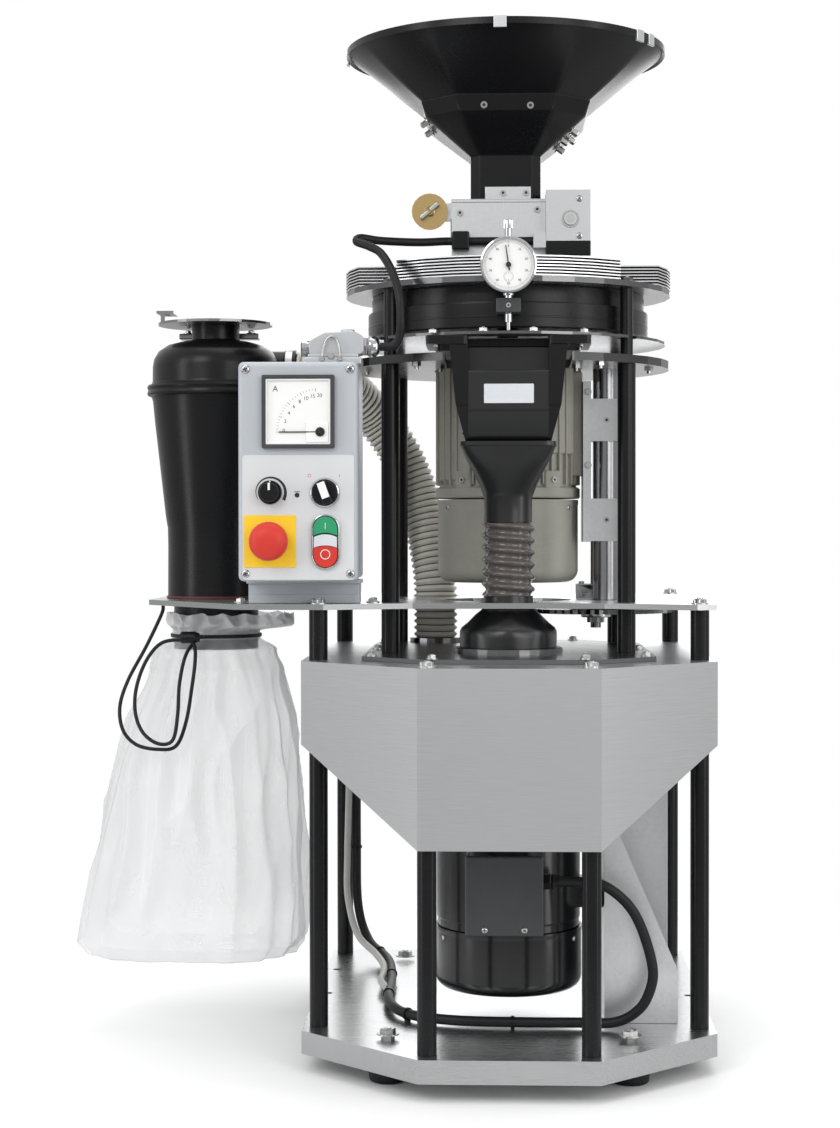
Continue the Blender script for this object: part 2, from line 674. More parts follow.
def build_materials(sizes, colours):
    """Every finish of the mill."""
    PAINT["grain"] = grain_group()
    steel = tuple(colours.steel)
    bright = tuple(colours.bright)
    zinc = tuple(colours.zinc)
    black = tuple(colours.black)
    finish("brushed_sheet", steel, 0.86, metal=1.0, rough=0.31, spread=0.07, scale=900, stretch=(0.03, 0.03, 1),
           patches=5, relief=0.035)
    finish("brushed_flat", steel, 0.86, metal=1.0, rough=0.27, spread=0.07, scale=900, stretch=(0.03, 1, 1),
           patches=5, relief=0.03, side_tone=0.66)
    finish("polished_sheet", bright, 0.92, metal=1.0, rough=0.26, spread=0.08, scale=700, patches=9, relief=0.03)
    finish("rim_plate", bright, 0.92, metal=1.0, rough=0.24, spread=0.06, scale=700, patches=9, relief=0.02,
           side_tone=0.18)
    finish("fin_plate", (0.24, 0.24, 0.245), 0.85, metal=1.0, rough=0.3, spread=0.06, scale=700, patches=9,
           relief=0.0, side_tone=3.0)
    finish("tube_steel", (0.27, 0.27, 0.28), 0.85, metal=1.0, rough=0.24, spread=0.03, scale=900,
           patches=20, relief=0.0)
    finish("cut_plate", bright, 0.92, metal=1.0, rough=0.26, spread=0.08, scale=700, patches=9, relief=0.03,
           side_tone=0.1)
    finish("galvanised", steel, 0.88, metal=1.0, rough=0.35, spread=0.1, scale=260,
           patches=24, relief=0.03)
    finish("zinc_parts", zinc, 0.75, metal=1.0, rough=0.3, spread=0.14, scale=1400, patches=120, relief=0.05)
    finish("chrome", (0.5, 0.5, 0.51), 0.9, metal=1.0, rough=0.1, spread=0.05, scale=900, patches=30, relief=0.01)
    finish("bare_aluminium", (0.6, 0.6, 0.59), 0.85, metal=1.0, rough=0.36, spread=0.12, scale=1100, patches=70,
           relief=0.08)
    finish("brass", tuple(colours.brass), 0.84, metal=1.0, rough=0.25, spread=0.06, scale=2200, patches=30, relief=0.01)
    finish("black_coat", black, 1.5, rough=0.27, spread=0.06, scale=1600, patches=12, relief=0.04, shine=0.24)
    finish("black_motor", black, 1.4, rough=0.2, spread=0.08, scale=420, patches=9, relief=0.05, coat=0.15, shine=0.4)
    finish("black_plastic", tuple(value * 1.1 for value in black), 1.0, rough=0.29, spread=0.05, scale=260,
           patches=9, relief=0.012, shine=0.26)
    finish("black_gloss", black, 1.0, rough=0.3, spread=0.05, scale=300, patches=14, relief=0.01, shine=0.62)
    finish("black_rubber", tuple(value * 1.3 for value in black), 1.6, rough=0.48, spread=0.14, scale=1300,
           patches=25, relief=0.14, shine=0.3)
    finish("dark_grey", (0.035, 0.036, 0.038), 1.3, rough=0.4, spread=0.14, scale=900, patches=30, relief=0.08)
    finish("grey_motor", tuple(colours.motor_grey), 0.82, rough=0.46, spread=0.14, scale=800, patches=18, relief=0.12)
    finish("grey_enamel", tuple(colours.enamel), 0.95, rough=0.36, spread=0.1, scale=1500, patches=11, relief=0.1)
    finish("pale_sheet", (0.6, 0.61, 0.62), 0.95, rough=0.32, spread=0.1, scale=1300, patches=14, relief=0.04)
    finish("light_grey_plastic", (0.46, 0.46, 0.44), 0.88, rough=0.42, spread=0.12, scale=900, patches=40, relief=0.08)
    finish("white_plastic", (0.8, 0.8, 0.79), 0.95, rough=0.35, spread=0.1, scale=900, patches=30, relief=0.02)
    finish("red_plastic", tuple(value * 0.82 for value in colours.red), 0.9, rough=0.36, spread=0.08, scale=1200,
           patches=60, relief=0.02, shine=0.22)
    finish("green_plastic", tuple(colours.green), 0.9, rough=0.36, spread=0.1, scale=1200, patches=60, relief=0.04)
    finish("yellow_plate", tuple(colours.yellow), 0.94, rough=0.4, spread=0.08, scale=900, patches=50, relief=0.02)
    finish("beige_hose", tuple(value * 1.18 for value in colours.hose), 0.88, rough=0.4, spread=0.12, scale=600,
           patches=22, relief=0.08)
    finish("hose_groove", tuple(value * 0.26 for value in colours.hose), 0.8, rough=0.6, spread=0.12, scale=600,
           patches=22, relief=0.08, shine=0.2)
    finish("smoke_hose", (0.072, 0.063, 0.059), 1.5, rough=0.12, spread=0.06, scale=90, patches=30, relief=0.02,
           coat=0.5)
    finish("cast_grey", (0.5, 0.515, 0.53), 0.88, metal=0.35, rough=0.34, spread=0.12, scale=900, patches=60,
           relief=0.1)
    finish("red_seal", (0.1, 0.018, 0.016), 0.8, rough=0.5, spread=0.12, scale=900, patches=40, relief=0.1)
    finish("dark_plate", (0.2, 0.205, 0.21), 0.85, metal=1.0, rough=0.24, spread=0.08, scale=700, patches=9,
           relief=0.03)
    finish("black_print", (0.012, 0.012, 0.013), 1.3, rough=0.5, spread=0.08, scale=900, patches=60, relief=0.02)
    finish("blank_label", (0.62, 0.64, 0.67), 0.93, rough=0.28, spread=0.08, scale=700, patches=50, relief=0.02)
    film("clear_film", (0.69, 0.7, 0.71), 0.33, 0.6)
    film("dense_film", (0.74, 0.755, 0.765), 0.6, 0.86)


# ---- Shared steps

def keep(node, material, edge=0.0):
    """A sheet or block that shows as modelled, with its own finish and softened edges."""
    piece = frame["nodes"][node]
    for place in piece.material_slots:
        place.material = PAINT[material]
    if edge:
        rim = piece.modifiers.new("rim", "BEVEL")
        rim.width = edge
        rim.segments = 3
        rim.limit_method = "ANGLE"
        rim.angle_limit = math.radians(32)


def paints(*names):
    return [PAINT[name] for name in names]


def fasteners(name, mesh, places, materials=("zinc_parts", "black_print"), body="frame"):
    """Copies of one fastener, each given by its placement matrix."""
    work = Workpiece()
    for matrix in places:
        work.stamp(mesh, matrix)
    return work.show(name, paints(*materials), body, slot="bare_aluminium")


def upright(x, y, z, turn=0.3):
    return Matrix.Translation((x, y, z)) @ Matrix.Rotation(turn, 4, "Z")


def hanging(x, y, z, turn=0.3):
    return Matrix.Translation((x, y, z)) @ Matrix.Rotation(math.pi, 4, "X") @ Matrix.Rotation(turn, 4, "Z")


def to_front(x, y, z, turn=0.0):
    """Stand a fastener on a face that looks to the front."""
    return Matrix.Translation((x, y, z)) @ READ_FROM_FRONT @ Matrix.Rotation(turn, 4, "Z")


def arc(across, up, radius, start, end, steps=8):
    """Points of a profile's rounded corner."""
    return [
        (across + radius * math.cos(math.radians(blend_value(start, end, step / steps))),
         up + radius * math.sin(math.radians(blend_value(start, end, step / steps))))
        for step in range(steps + 1)
    ]


def oval(centre, half_x, half_y, power=2.0, sides=96):
    """A loop between an ellipse and a rounded rectangle."""
    points = []
    for step in range(sides):
        angle = math.tau * step / sides
        c, s = math.cos(angle), math.sin(angle)
        reach = (abs(c) ** power + abs(s) ** power) ** (-1 / power)
        points.append((centre[0] + half_x * c * reach, centre[1] + half_y * s * reach))
    return points


# ---- Base and columns

def build_base(sizes, colours):
    """Tray, feet, columns and their bolts."""
    keep("base_plate", "brushed_flat", 0.0015)
    for node in ("foot_front_left", "foot_front_right", "foot_rear_left", "foot_rear_right"):
        low, high, centre = standing(node)
        radius = (high.x - low.x) / 2
        profile = [(radius - 0.0055, low.z), (radius - 0.003, low.z + 0.0015), (radius - 0.0022, low.z + 0.004),
                   (radius, high.z - 0.012), (radius, high.z - 0.002), (radius - 0.002, high.z)]
        work = Workpiece().turned(profile, centre, bend=0.001)
        work.turned([(radius * 0.98, low.z + 0.01), (radius + 0.0001, low.z + 0.012),
                     (radius * 0.99, low.z + 0.014)], centre)
        work.show("rubber_" + node, paints("black_rubber"), nodes=(node,), slot="black_rubber")
    base_top = span("base_plate")[1].z
    heads = [upright(x, y, base_top, turn) for x, y, turn in
             ((-0.127, -0.128, 0.2), (0.127, -0.128, 0.5), (-0.127, 0.3, 0.1), (0.127, 0.3, 0.4))]
    fasteners("tray_bolts", hexagon_bolt(0.0085, 0.0052, 0.0118), heads)
    for node in (
        "front_column_left", "front_column_right", "side_column_left", "side_column_right", "rear_column_left",
        "rear_column_right",
    ):
        low, high, centre = standing(node)
        work = Workpiece().turned([(0.01, low.z), (0.01, high.z)], centre, bend=0.0008, sides=48)
        work.show("tube_" + node, paints("black_coat"), nodes=(node,), slot="black_coat")
    for node in (
        "upper_column_front_left", "upper_column_front_right", "upper_column_rear_left", "upper_column_rear_right",
    ):
        low, high, centre = standing(node)
        step = span("support_disc")[0].z
        profile = [(0.01, low.z), (0.01, step), (0.007, step), (0.007, high.z)]
        work = Workpiece().turned(profile, centre, bend=0.0006, sides=48)
        work.show("tube_" + node, paints("black_coat"), nodes=(node,), slot="black_coat")
    bolts = [upright(x, y, 0.439, 0.4) for x, y in ((-0.0838, -0.1949), (0.0838, -0.1949))]
    table_low = span("table_plate")[0].z
    bolts += [upright(x, y, table_low + 0.006, 0.2 + abs(x)) for x, y in
              ((-0.2047, -0.0655), (0.2047, -0.0655), (-0.2047, 0.345), (0.2047, 0.345))]
    fasteners("column_bolts", hexagon_bolt(0.0068, 0.0045, 0.0092), bolts)


# ---- Blower

def build_blower(sizes, colours):
    """Hood, cover plate, motor with its terminal box, bracket and cable."""
    keep("blower_housing", "brushed_sheet", 0.0018)
    keep("housing_cover_plate", "dark_plate", 0.0006)
    keep("motor_bracket", "galvanised", 0.0006)
    keep("blower_impeller", "galvanised")
    cover_top = span("housing_cover_plate")[0].z + 0.0045
    rim = [(0.08, -0.14), (-0.08, -0.14), (0.147, -0.078), (-0.147, -0.078), (0.147, 0.06), (-0.147, 0.06),
           (0.147, 0.2), (-0.147, 0.2), (0.08, 0.27), (-0.08, 0.27)]
    fasteners("cover_bolts", hexagon_bolt(0.0048, 0.0034, 0.0062), [upright(x, y, cover_top, x * 9) for x, y in rim])

    work = Workpiece()
    shell = [(0.06, 0.1443), (0.0782, 0.1443), (0.0782, 0.153), (0.079, 0.1538), (0.079, 0.327),
             (0.0782, 0.3278), (0.0782, 0.3497), (0.05, 0.3497)]
    work.turned(shell, bend=0.0008, sides=128)
    work.turned([(0.07, 0.33), (0.0788, 0.33), (0.0788, 0.3345), (0.07, 0.3345)], sides=128, bend=0.0008)
    for z in (0.1683, 0.3017):
        work.block((0.066, -0.04, z), (0.1034, 0.04, z + 0.024), bend=0.002)
    work.block((-0.044, -0.104, 0.1515), (0.0345, -0.06, 0.2322), bend=0.003)
    work.show("blower_motor_shell", paints("black_motor"), nodes=("blower_motor",), slot="black_motor")

    work = Workpiece()
    work.block((-0.046, -0.114, 0.1495), (0.0365, -0.1055, 0.2342), bend=0.0022)
    work.block((-0.046, -0.1052, 0.1505), (0.0365, -0.098, 0.2332), bend=0.0022)
    work.show("terminal_cover", paints("dark_grey"), slot="black_motor")
    screws = [to_front(x, -0.114, 0.1562, 0.5 + x * 20) for x in (-0.0255, 0.0165)]
    fasteners("terminal_screws", cross_screw(0.0036, 0.0026), screws)

    work = Workpiece()
    gland_x = 0.0365
    ends = [(0.009, gland_x - 0.001), (0.009, gland_x + 0.007), (0.008, gland_x + 0.0085),
            (0.0088, gland_x + 0.01), (0.0066, gland_x + 0.016)]
    work.turned(ends, (-0.09, 0.2045), axis="X", sides=6, bend=0.0004)
    work.turned([(0.0064, gland_x + 0.008), (0.0064, gland_x + 0.0165)], (-0.09, 0.2045), axis="X", sides=32)
    work.show("terminal_gland", paints("black_plastic"), slot="black_plastic")

    axis = (0.0, 0.0)
    fan_cover("blower_cover_shell", "blower_fan_cover", axis, 0.0806, 0.076, 0.144, "black_motor")
    fasteners("fan_cover_screws", cross_screw(0.003, 0.0018),
              round_shell(axis, 0.0806, [(degrees, 0.134) for degrees in (-62, 62, 118, -118)]))

    bracket = [facing((0.1067, y, z), (1, 0, 0), y) for y in (-0.025, 0.06) for z in (0.18, 0.314)]
    fasteners("bracket_bolts", hexagon_bolt(0.0062, 0.0042, 0.0085), bracket)
    foot = [upright(0.15, y, span("base_plate")[1].z + 0.003, y * 7) for y in (-0.015, 0.07)]
    fasteners("bracket_foot_bolts", hexagon_bolt(0.0058, 0.004, 0.008), foot)

    cable = smooth_route(MOTOR_CABLE_ROUTE)
    work = Workpiece().tube(spaced(cable, 420), 0.0055, sides=20)
    work.show("motor_cable_sheath", paints("black_rubber"), nodes=("motor_cable",), slot="black_rubber", sharp=60)
    side = []
    for point in spaced(cable, 260)[150:260]:
        share = len(side) / 110
        side.append(point + Vector((-0.0102 + 0.0015 * math.sin(share * 9), -0.004 - 0.003 * share, 0.002)))
    start = spaced(cable, 260)[136]
    bend = start.lerp(side[8], 0.5) + Vector((-0.006, 0.0, 0.001))
    lead = spaced(smooth_route([start, bend] + side[8::12] + [side[-1]]), 120)
    Workpiece().tube(lead, 0.0042, sides=16).show(
        "earth_lead", paints("light_grey_plastic"), slot="light_grey_plastic", sharp=60)
    tie = template(lambda part: part.turned(
        [(0.0056, -0.0016), (0.0068, -0.0016), (0.0068, 0.0016), (0.0056, 0.0016)], sides=24, around=True).block(
        (-0.003, -0.0086, -0.0022), (0.003, -0.006, 0.0022), bend=0.0005))
    ties = Workpiece()
    samples = spaced(cable, 200)
    for index in (62, 84, 102, 122, 142, 170, 186):
        heading = (samples[index + 1] - samples[index - 1]).normalized()
        ties.stamp(tie, Matrix.Translation(samples[index]) @ heading.to_track_quat("Z", "Y").to_matrix().to_4x4())
    ties.show("cable_ties", paints("black_plastic"), slot="black_plastic")


def fan_cover(name, node, centre, radius, low, high, material):
    """Pressed cover round a motor's fan, with a slotted air grille at its closed end."""
    work = Workpiece()
    corner = 0.014
    outside = [(0.034, low)] + arc(radius - corner, low + corner, corner, -90, 0) + [(radius, high - 0.006),
               (radius + 0.0004, high - 0.005), (radius + 0.0004, high)]
    inside = [(radius - 0.002, high)] + arc(radius - corner, low + corner, corner - 0.002, 0, -90) + [
        (0.034, low + 0.002)]
    work.turned(outside + inside, centre, sides=128, around=True)
    for ring in (0.012, 0.02, 0.028):
        work.turned([(ring, low + 0.0003), (ring + 0.0022, low + 0.0003), (ring + 0.0022, low + 0.0018),
                     (ring, low + 0.0018)], centre, sides=64, around=True)
    bar = template(lambda part: part.block((-0.035, -0.0012, low + 0.0003), (0.035, 0.0012, low + 0.0018)))
    for spoke in range(4):
        work.stamp(bar, Matrix.Translation((*centre, 0)) @ Matrix.Rotation(math.pi * spoke / 4, 4, "Z"))
    work.show(name, paints(material), frame["nodes"][node]["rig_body"], (node,), material)


# ---- Table, wheel and grinding head

def build_table(sizes, colours):
    """Table plate with its bearing block, and the hand wheel under it."""
    keep("table_plate", "brushed_flat", 0.0006)
    keep("adjusting_wheel", "rim_plate", 0.0004)
    low = span("table_plate")[0]
    x, y = SPINDLE
    Workpiece().block((x - 0.0228, y - 0.011, 0.499), (x + 0.0228, y + 0.011, 0.5166), bend=0.0012).show(
        "bearing_block", paints("dark_grey"), slot="black_coat")
    places = [upright(x + side, y, 0.5166, 0) for side in (-0.0165, 0.0165)]
    fasteners("bearing_screws", socket_screw(0.0032, 0.0028), places)
    fasteners("box_bolts", hexagon_bolt(0.0052, 0.0036, 0.0075),
              [upright(x, y, 0.499, x * 30) for x, y in ((-0.294, -0.02), (-0.148, -0.03), (-0.15, 0.01))])
    fasteners("upper_column_nuts", hexagon_nut(0.0075, 0.0052),
              [hanging(x, y, low.z, x * 9) for x in (-0.13, 0.13) for y in (-0.002, 0.222)])
    work = Workpiece()
    work.turned([(0.0168, 0.4785), (0.0172, 0.4795), (0.0172, 0.4835), (0.012, 0.4845)], SPINDLE, bend=0.0004)
    work.stamp(hexagon_nut(0.0098, 0.006), hanging(*SPINDLE, 0.4782, 0.1))
    work.show("wheel_hub", paints("zinc_parts"), "adjusting_wheel", slot="bare_aluminium")


def build_head(sizes, colours):
    """Support disc, grinding drum, top plate and the stack of fins."""
    keep("support_disc", "cut_plate", 0.0006)
    keep("drum_disc", "rim_plate", 0.0004)
    keep("top_plate", "rim_plate", 0.0006)
    keep("fin_stack", "fin_plate", 0.0002)
    keep("rotor", "dark_grey")
    axis = (0.0, HEAD_Y)
    work = Workpiece()
    outer = [(0.15, 0.797), (0.1588, 0.797), (0.1603, 0.7985), (0.1603, 0.8235), (0.1597, 0.825), (0.1562, 0.8252),
             (0.1559, 0.8262), (0.1559, 0.8415), (0.1546, 0.844), (0.15, 0.844)]
    work.turned(outer, axis, sides=160, around=True)
    work.turned([(0.1585, 0.808), (0.16055, 0.808), (0.16055, 0.8105), (0.1585, 0.8105)], axis, sides=160,
                around=True, bend=0.0006)
    work.show("drum_shell", paints("black_plastic"), nodes=("drum",), slot="black_coat")

    core = Workpiece().turned([(0.149, 0.8506), (0.149, 0.8715)], axis, sides=128)
    core.show("fin_core", paints("black_print"), slot="black_coat")

    disc_top = span("drum_disc")[0].z + 0.003
    ring = 0.1705
    bolts = [upright(x, HEAD_Y - math.sqrt(ring ** 2 - x ** 2), disc_top, x * 20)
             for x in (-0.082, -0.027, 0.027, 0.082)]
    fasteners("disc_bolts", hexagon_bolt(0.0046, 0.0034, 0.0062), bolts, body="lift")
    plate_top = span("top_plate")[0].z + 0.006
    fasteners("top_bolts", hexagon_bolt(0.0062, 0.0042, 0.0085),
              [upright(x, y, plate_top, x * 8) for x in (-0.13, 0.13) for y in (-0.002, 0.222)])
    support_low = span("support_disc")[0].z
    fasteners("support_nuts", hexagon_nut(0.0052, 0.004),
              [hanging(x, y, support_low, x * 8) for x, y in
               ((-0.1, -0.032), (0.1, -0.032), (-0.158, 0.05), (0.158, 0.05), (-0.075, 0.01),
                (0.075, 0.01))])


# ---- Mill motor and height adjuster

def build_mill_motor(sizes, colours):
    """Ribbed motor, fan cover, carrier and guide tube."""
    axis = (0.0, HEAD_Y)
    work = Workpiece()
    body = 0.083 - sizes.rib_depth
    work.turned([(0.06, 0.6146), (0.0815, 0.6146), (0.0828, 0.616), (0.0828, 0.6255), (0.081, 0.627),
                 (body, 0.628), (body, 0.769), (0.0812, 0.77), (0.083, 0.7715), (0.083, 0.787),
                 (0.0818, 0.7884), (0.06, 0.7884)], axis, sides=128)
    rib = template(lambda part: part.block((-0.0011, -0.0829, 0.63), (0.0011, -body + 0.002, 0.768), bend=0.0006))
    for step in range(sizes.rib_count):
        turn = math.tau * (step + 0.5) / sizes.rib_count
        work.stamp(rib, Matrix.Translation((0, HEAD_Y, 0)) @ Matrix.Rotation(turn, 4, "Z"))
    for side in (-1, 1):
        turn = Matrix.Translation((0, HEAD_Y, 0)) @ Matrix.Rotation(side * math.radians(38), 4, "Z")
        for z in (0.744, 0.624):
            ear = template(lambda part: part.block((-0.011, -0.0828, z), (0.011, -0.07, z + 0.022), bend=0.003))
            work.stamp(ear, turn)
    work.block((0.07, 0.075, 0.64), (0.0846, 0.135, 0.758), bend=0.002)
    for degrees, low_end in ((-50, 0.634), (44, 0.664)):
        pad = template(lambda part: part.block((-0.027, -0.0806, low_end), (0.027, -0.06, 0.7645), bend=0.003))
        work.stamp(pad, Matrix.Translation((0, HEAD_Y, 0)) @ Matrix.Rotation(math.radians(degrees), 4, "Z"))
    rail = template(lambda part: part.block((-0.0055, -0.0828, 0.682), (0.0055, -0.072, 0.742), bend=0.0018))
    work.stamp(rail, Matrix.Translation((0, HEAD_Y, 0)) @ Matrix.Rotation(math.radians(-36), 4, "Z"))
    work.show("mill_motor_shell", paints("grey_motor"), "lift", ("mill_motor",), "grey_motor")

    screws = ((-36, 0.737), (-36, 0.687), (38, 0.756), (38, 0.635), (-38, 0.635), (-38, 0.756))
    fasteners("mill_motor_screws", socket_screw(0.0033, 0.0024), round_shell(axis, 0.0826, screws), body="lift")

    fan_cover("mill_cover_shell", "mill_fan_cover", axis, 0.0805, 0.519, 0.613, "grey_motor")
    screws = [(degrees, 0.604) for degrees in (-58, 58, 122, -122)]
    fasteners("mill_cover_screws", cross_screw(0.0028, 0.0017), round_shell(axis, 0.0806, screws), body="lift")

    work = Workpiece()
    tube_low, tube_high = span("guide_tube")
    work.turned([(0.01125, tube_low.z), (0.01425, tube_low.z), (0.01425, tube_high.z), (0.01125, tube_high.z)],
                (0.111, 0.085), sides=64, around=True, bend=0.0004)
    work.show("guide_shell", paints("tube_steel"), nodes=("guide_tube",), slot="polished_sheet")

    keep("motor_carrier", "galvanised", 0.0008)
    places = [to_front(0.1115, 0.068, z, 0.2 + z) for z in (0.703, 0.59)]
    fasteners("block_screws", socket_screw(0.0034, 0.0008), places, body="lift")
    places = [to_front(0.0905, 0.068, z, z) for z in (0.735, 0.652)]
    fasteners("carrier_bolts", hexagon_bolt(0.004, 0.0026, 0.0042), places, body="lift")


# ---- Dial gauge

def ticks(work, centre, inner, outer, width, count, front, start=0.0, sweep=360.0, long_every=10, longer=0.0012):
    """Fine lines round a scale."""
    for step in range(count):
        angle = math.radians(start + sweep * step / count)
        reach = inner - (longer if step % long_every == 0 else 0.0)
        broad = width * (1.5 if step % long_every == 0 else 1.0)
        direction = Vector((math.sin(angle), 0, math.cos(angle)))
        side = Vector((math.cos(angle), 0, -math.sin(angle))) * broad / 2
        middle = Vector((centre[0], front, centre[1]))
        corners = [middle + direction * r + side * s for r, s in ((reach, -1), (outer, -1), (outer, 1), (reach, 1))]
        back = [point + Vector((0, 0.0001, 0)) for point in corners]
        work.rings([corners, back], 1)


def build_gauge(sizes, colours):
    """Dial gauge with its face, numbers, holder and plunger."""
    centre = (0.0, 0.86)
    work = Workpiece()
    work.turned([(0.0285, -0.092), (0.03, -0.0915), (0.0303, -0.0905), (0.0303, -0.0835), (0.0296, -0.082),
                 (0.0296, -0.08), (0.0245, -0.08), (0.0245, -0.06), (0.0235, -0.058), (0.004, -0.058),
                 (0.004, -0.087), (0.027, -0.087), (0.0274, -0.0905)], centre, axis="Y", sides=128, around=True)
    work.turned([(0.004, 0.801), (0.004, 0.834)], (0, -0.067), sides=40)
    work.turned([(0.004, 0.886), (0.004, 0.902)], (0, -0.067), sides=40)
    knurl = []
    for step in range(48):
        angle = math.tau * step / 48
        radius = 0.0052 if step % 2 else 0.0048
        knurl.append((radius * math.cos(angle), -0.067 + radius * math.sin(angle)))
    work.rings([level(knurl, 0.901), level(knurl, 0.9095),
                level([(x * 0.8, (y + 0.067) * 0.8 - 0.067) for x, y in knurl], 0.911)])
    work.turned([(0.0062, 0.8295), (0.0062, 0.8335)], (0, -0.067), sides=40, bend=0.0006)
    work.show("gauge_case", paints("chrome"), nodes=("dial_gauge",), slot="polished_sheet")

    face = Workpiece()
    face.turned([(0.0272, -0.0873), (0.0272, -0.087)], centre, axis="Y", sides=96)
    ticks(face, centre, 0.0236, 0.0258, 0.00016, 100, -0.08745)
    for number in range(10):
        angle = math.tau * number / 10
        place = (0.02 * math.sin(angle), -0.08742, 0.86 + 0.02 * math.cos(angle))
        face.words(str(number * 10), 0.0034, place, paint=1)
    ticks(face, (0.0, 0.8475), 0.0034, 0.0046, 0.00014, 10, -0.08745, long_every=5, longer=0.0006)
    face.turned([(0.005, -0.08742), (0.0052, -0.08742), (0.0052, -0.0873), (0.005, -0.0873)], (0.0, 0.8475),
                axis="Y", sides=48, paint=1, around=True)
    face.show("gauge_face", paints("white_plastic", "black_print"), slot="white_plastic")
    keep("gauge_needle", "black_print")
    Workpiece().block((-0.0132, -0.079, 0.8105), (0.0132, -0.051, 0.826), bend=0.0012).show(
        "gauge_holder", paints("dark_grey"), slot="black_coat")
    fasteners("holder_screw", socket_screw(0.0026, 0.001), [to_front(0.0, -0.079, 0.818)])
    work = Workpiece().turned([(0.0014, 0.792), (0.0021, 0.793), (0.0021, 0.816)], (0, -0.067), sides=32)
    work.show("plunger_pin", paints("chrome"), "lift", ("gauge_plunger",), "polished_sheet")


# ---- Outlet

def build_outlet(sizes, colours):
    """Chute, funnel, ribbed hose and the boot on the blower."""
    work = Workpiece()
    for ear in (-1, 1):
        middle = (ear * 0.066, -0.023)
        flange = oval(middle, 0.023, 0.0465, 16)
        work.rings([level(flange, 0.778), level(flange, 0.7868), level(oval(middle, 0.0222, 0.0457, 16), 0.7876)])
    work.block((-0.06, -0.02, 0.778), (0.06, 0.0235, 0.7872), bend=0.001)
    cheek = rounded_corners([(-0.068, 0.7785), (-0.068, 0.712), (-0.0475, 0.6748), (0.0235, 0.6748),
                             (0.0235, 0.7785)], 0.0015)
    for side in (-1, 1):
        edge = []
        for y, z in cheek:
            reach = blend_value(0.0465, 0.0582, (z - 0.6748) / 0.0442) if z < 0.719 else blend_value(
                0.0582, 0.0633, (z - 0.719) / 0.0595)
            edge.append((side * reach, y, z))
        work.rings([[(side * 0.0432, y, z) for y, z in cheek], edge])
    work.show("chute_shell", paints("black_plastic"), "lift", ("outlet_chute",), "black_plastic")
    panel = Workpiece()
    outline = rounded_corners([(-0.0664, 0.7505), (-0.0664, 0.706), (-0.0468, 0.6749), (0.023, 0.6749),
                               (0.023, 0.778), (-0.038, 0.778), (-0.038, 0.7505)], 0.003, 4)
    panel.rings([[(x, y, z) for y, z in outline] for x in (-0.0434, 0.0434)])
    panel.show("chute_panel", paints("black_gloss"), "lift", slot="black_plastic")
    label = Workpiece().sheet([rectangle(-0.0262, 0.7145, 0.0272, 0.7352, 0.001)], -0.0668, -0.0663, "Y", 0.0001)
    label.show("bare_label", paints("blank_label"), "lift", slot="white_plastic")
    fasteners("flange_screws", socket_screw(0.003, 0.0022),
              [hanging(x, y, 0.778, x) for x in (-0.078, 0.078) for y in (-0.055, -0.005)], body="lift")

    work = Workpiece()
    loops = []
    for z, half, depth, middle, power in (
        (0.6745, 0.0525, 0.0412, -0.0118, 9), (0.67, 0.0525, 0.0412, -0.0118, 9),
        (0.6685, 0.0512, 0.04, -0.0116, 8),
        (0.66, 0.0478, 0.0385, -0.0105, 6), (0.645, 0.04, 0.035, -0.007, 3.6),
        (0.63, 0.0325, 0.0305, -0.0035, 2.6), (0.619, 0.0282, 0.0278, -0.001, 2.1),
        (0.614, 0.0265, 0.0265, 0.0, 2.0), (0.599, 0.0262, 0.0262, 0.0, 2.0), (0.5868, 0.0262, 0.0262, 0.0, 2.0),
        (0.5866, 0.0238, 0.0238, 0.0, 2.0), (0.5745, 0.0236, 0.0236, 0.0, 2.0),
    ):
        loops.append(level(oval((0.0, middle), half, depth, power), z))
    work.rings(loops)
    work.show("funnel_shell", paints("black_gloss"), "lift", ("outlet_funnel",), "black_plastic")

    low, high = span("outlet_hose")
    work = Workpiece()
    steps = 200
    rings = []
    for number in range(2 * steps + 2):
        share = min(number, 2 * steps + 1 - number) / steps
        outer = number <= steps
        ring = []
        for side in range(72):
            angle = math.tau * side / 72
            ripple = 0.5 - 0.5 * math.cos(math.tau * 6.0 * share + angle)
            radius = 0.025 + 0.0044 * ripple ** 1.2 if outer else 0.0246 + 0.0012 * ripple
            ring.append((radius * math.cos(angle), radius * math.sin(angle), blend_value(low.z, high.z, share)))
        rings.append(ring)
    work.rings(rings, around=True)
    hose = work.show("outlet_hose_wall", paints("smoke_hose"), None, ("outlet_hose",), "smoke_hose", sharp=70)
    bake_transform(hose)

    work = Workpiece()
    rings = []
    for radius, z, soft in (
        (0.05, 0.4491, 0.0), (0.0533, 0.45, 0.0), (0.0533, 0.461, 0.3), (0.0528, 0.467, 0.7),
        (0.0505, 0.4712, 1.0), (0.044, 0.4765, 1.0), (0.036, 0.485, 0.8), (0.0296, 0.4905, 0.3),
        (0.0278, 0.494, 0.0), (0.0274, 0.504, 0.0), (0.0272, 0.506, 0.0), (0.0246, 0.506, 0.0),
    ):
        ring = []
        for side in range(96):
            angle = math.tau * side / 96
            bulge = radius * (1 + 0.018 * soft * math.cos(8 * angle))
            ring.append((bulge * math.cos(angle), bulge * math.sin(angle), z))
        rings.append(ring)
    work.rings(rings)
    work.turned([(0.053, 0.4436), (0.0588, 0.4436), (0.0588, 0.4494), (0.053, 0.4502)], sides=96, around=True)
    work.show("boot_shell", paints("black_gloss"), nodes=("inlet_boot",), slot="black_rubber", sharp=60)


# ---- Feed

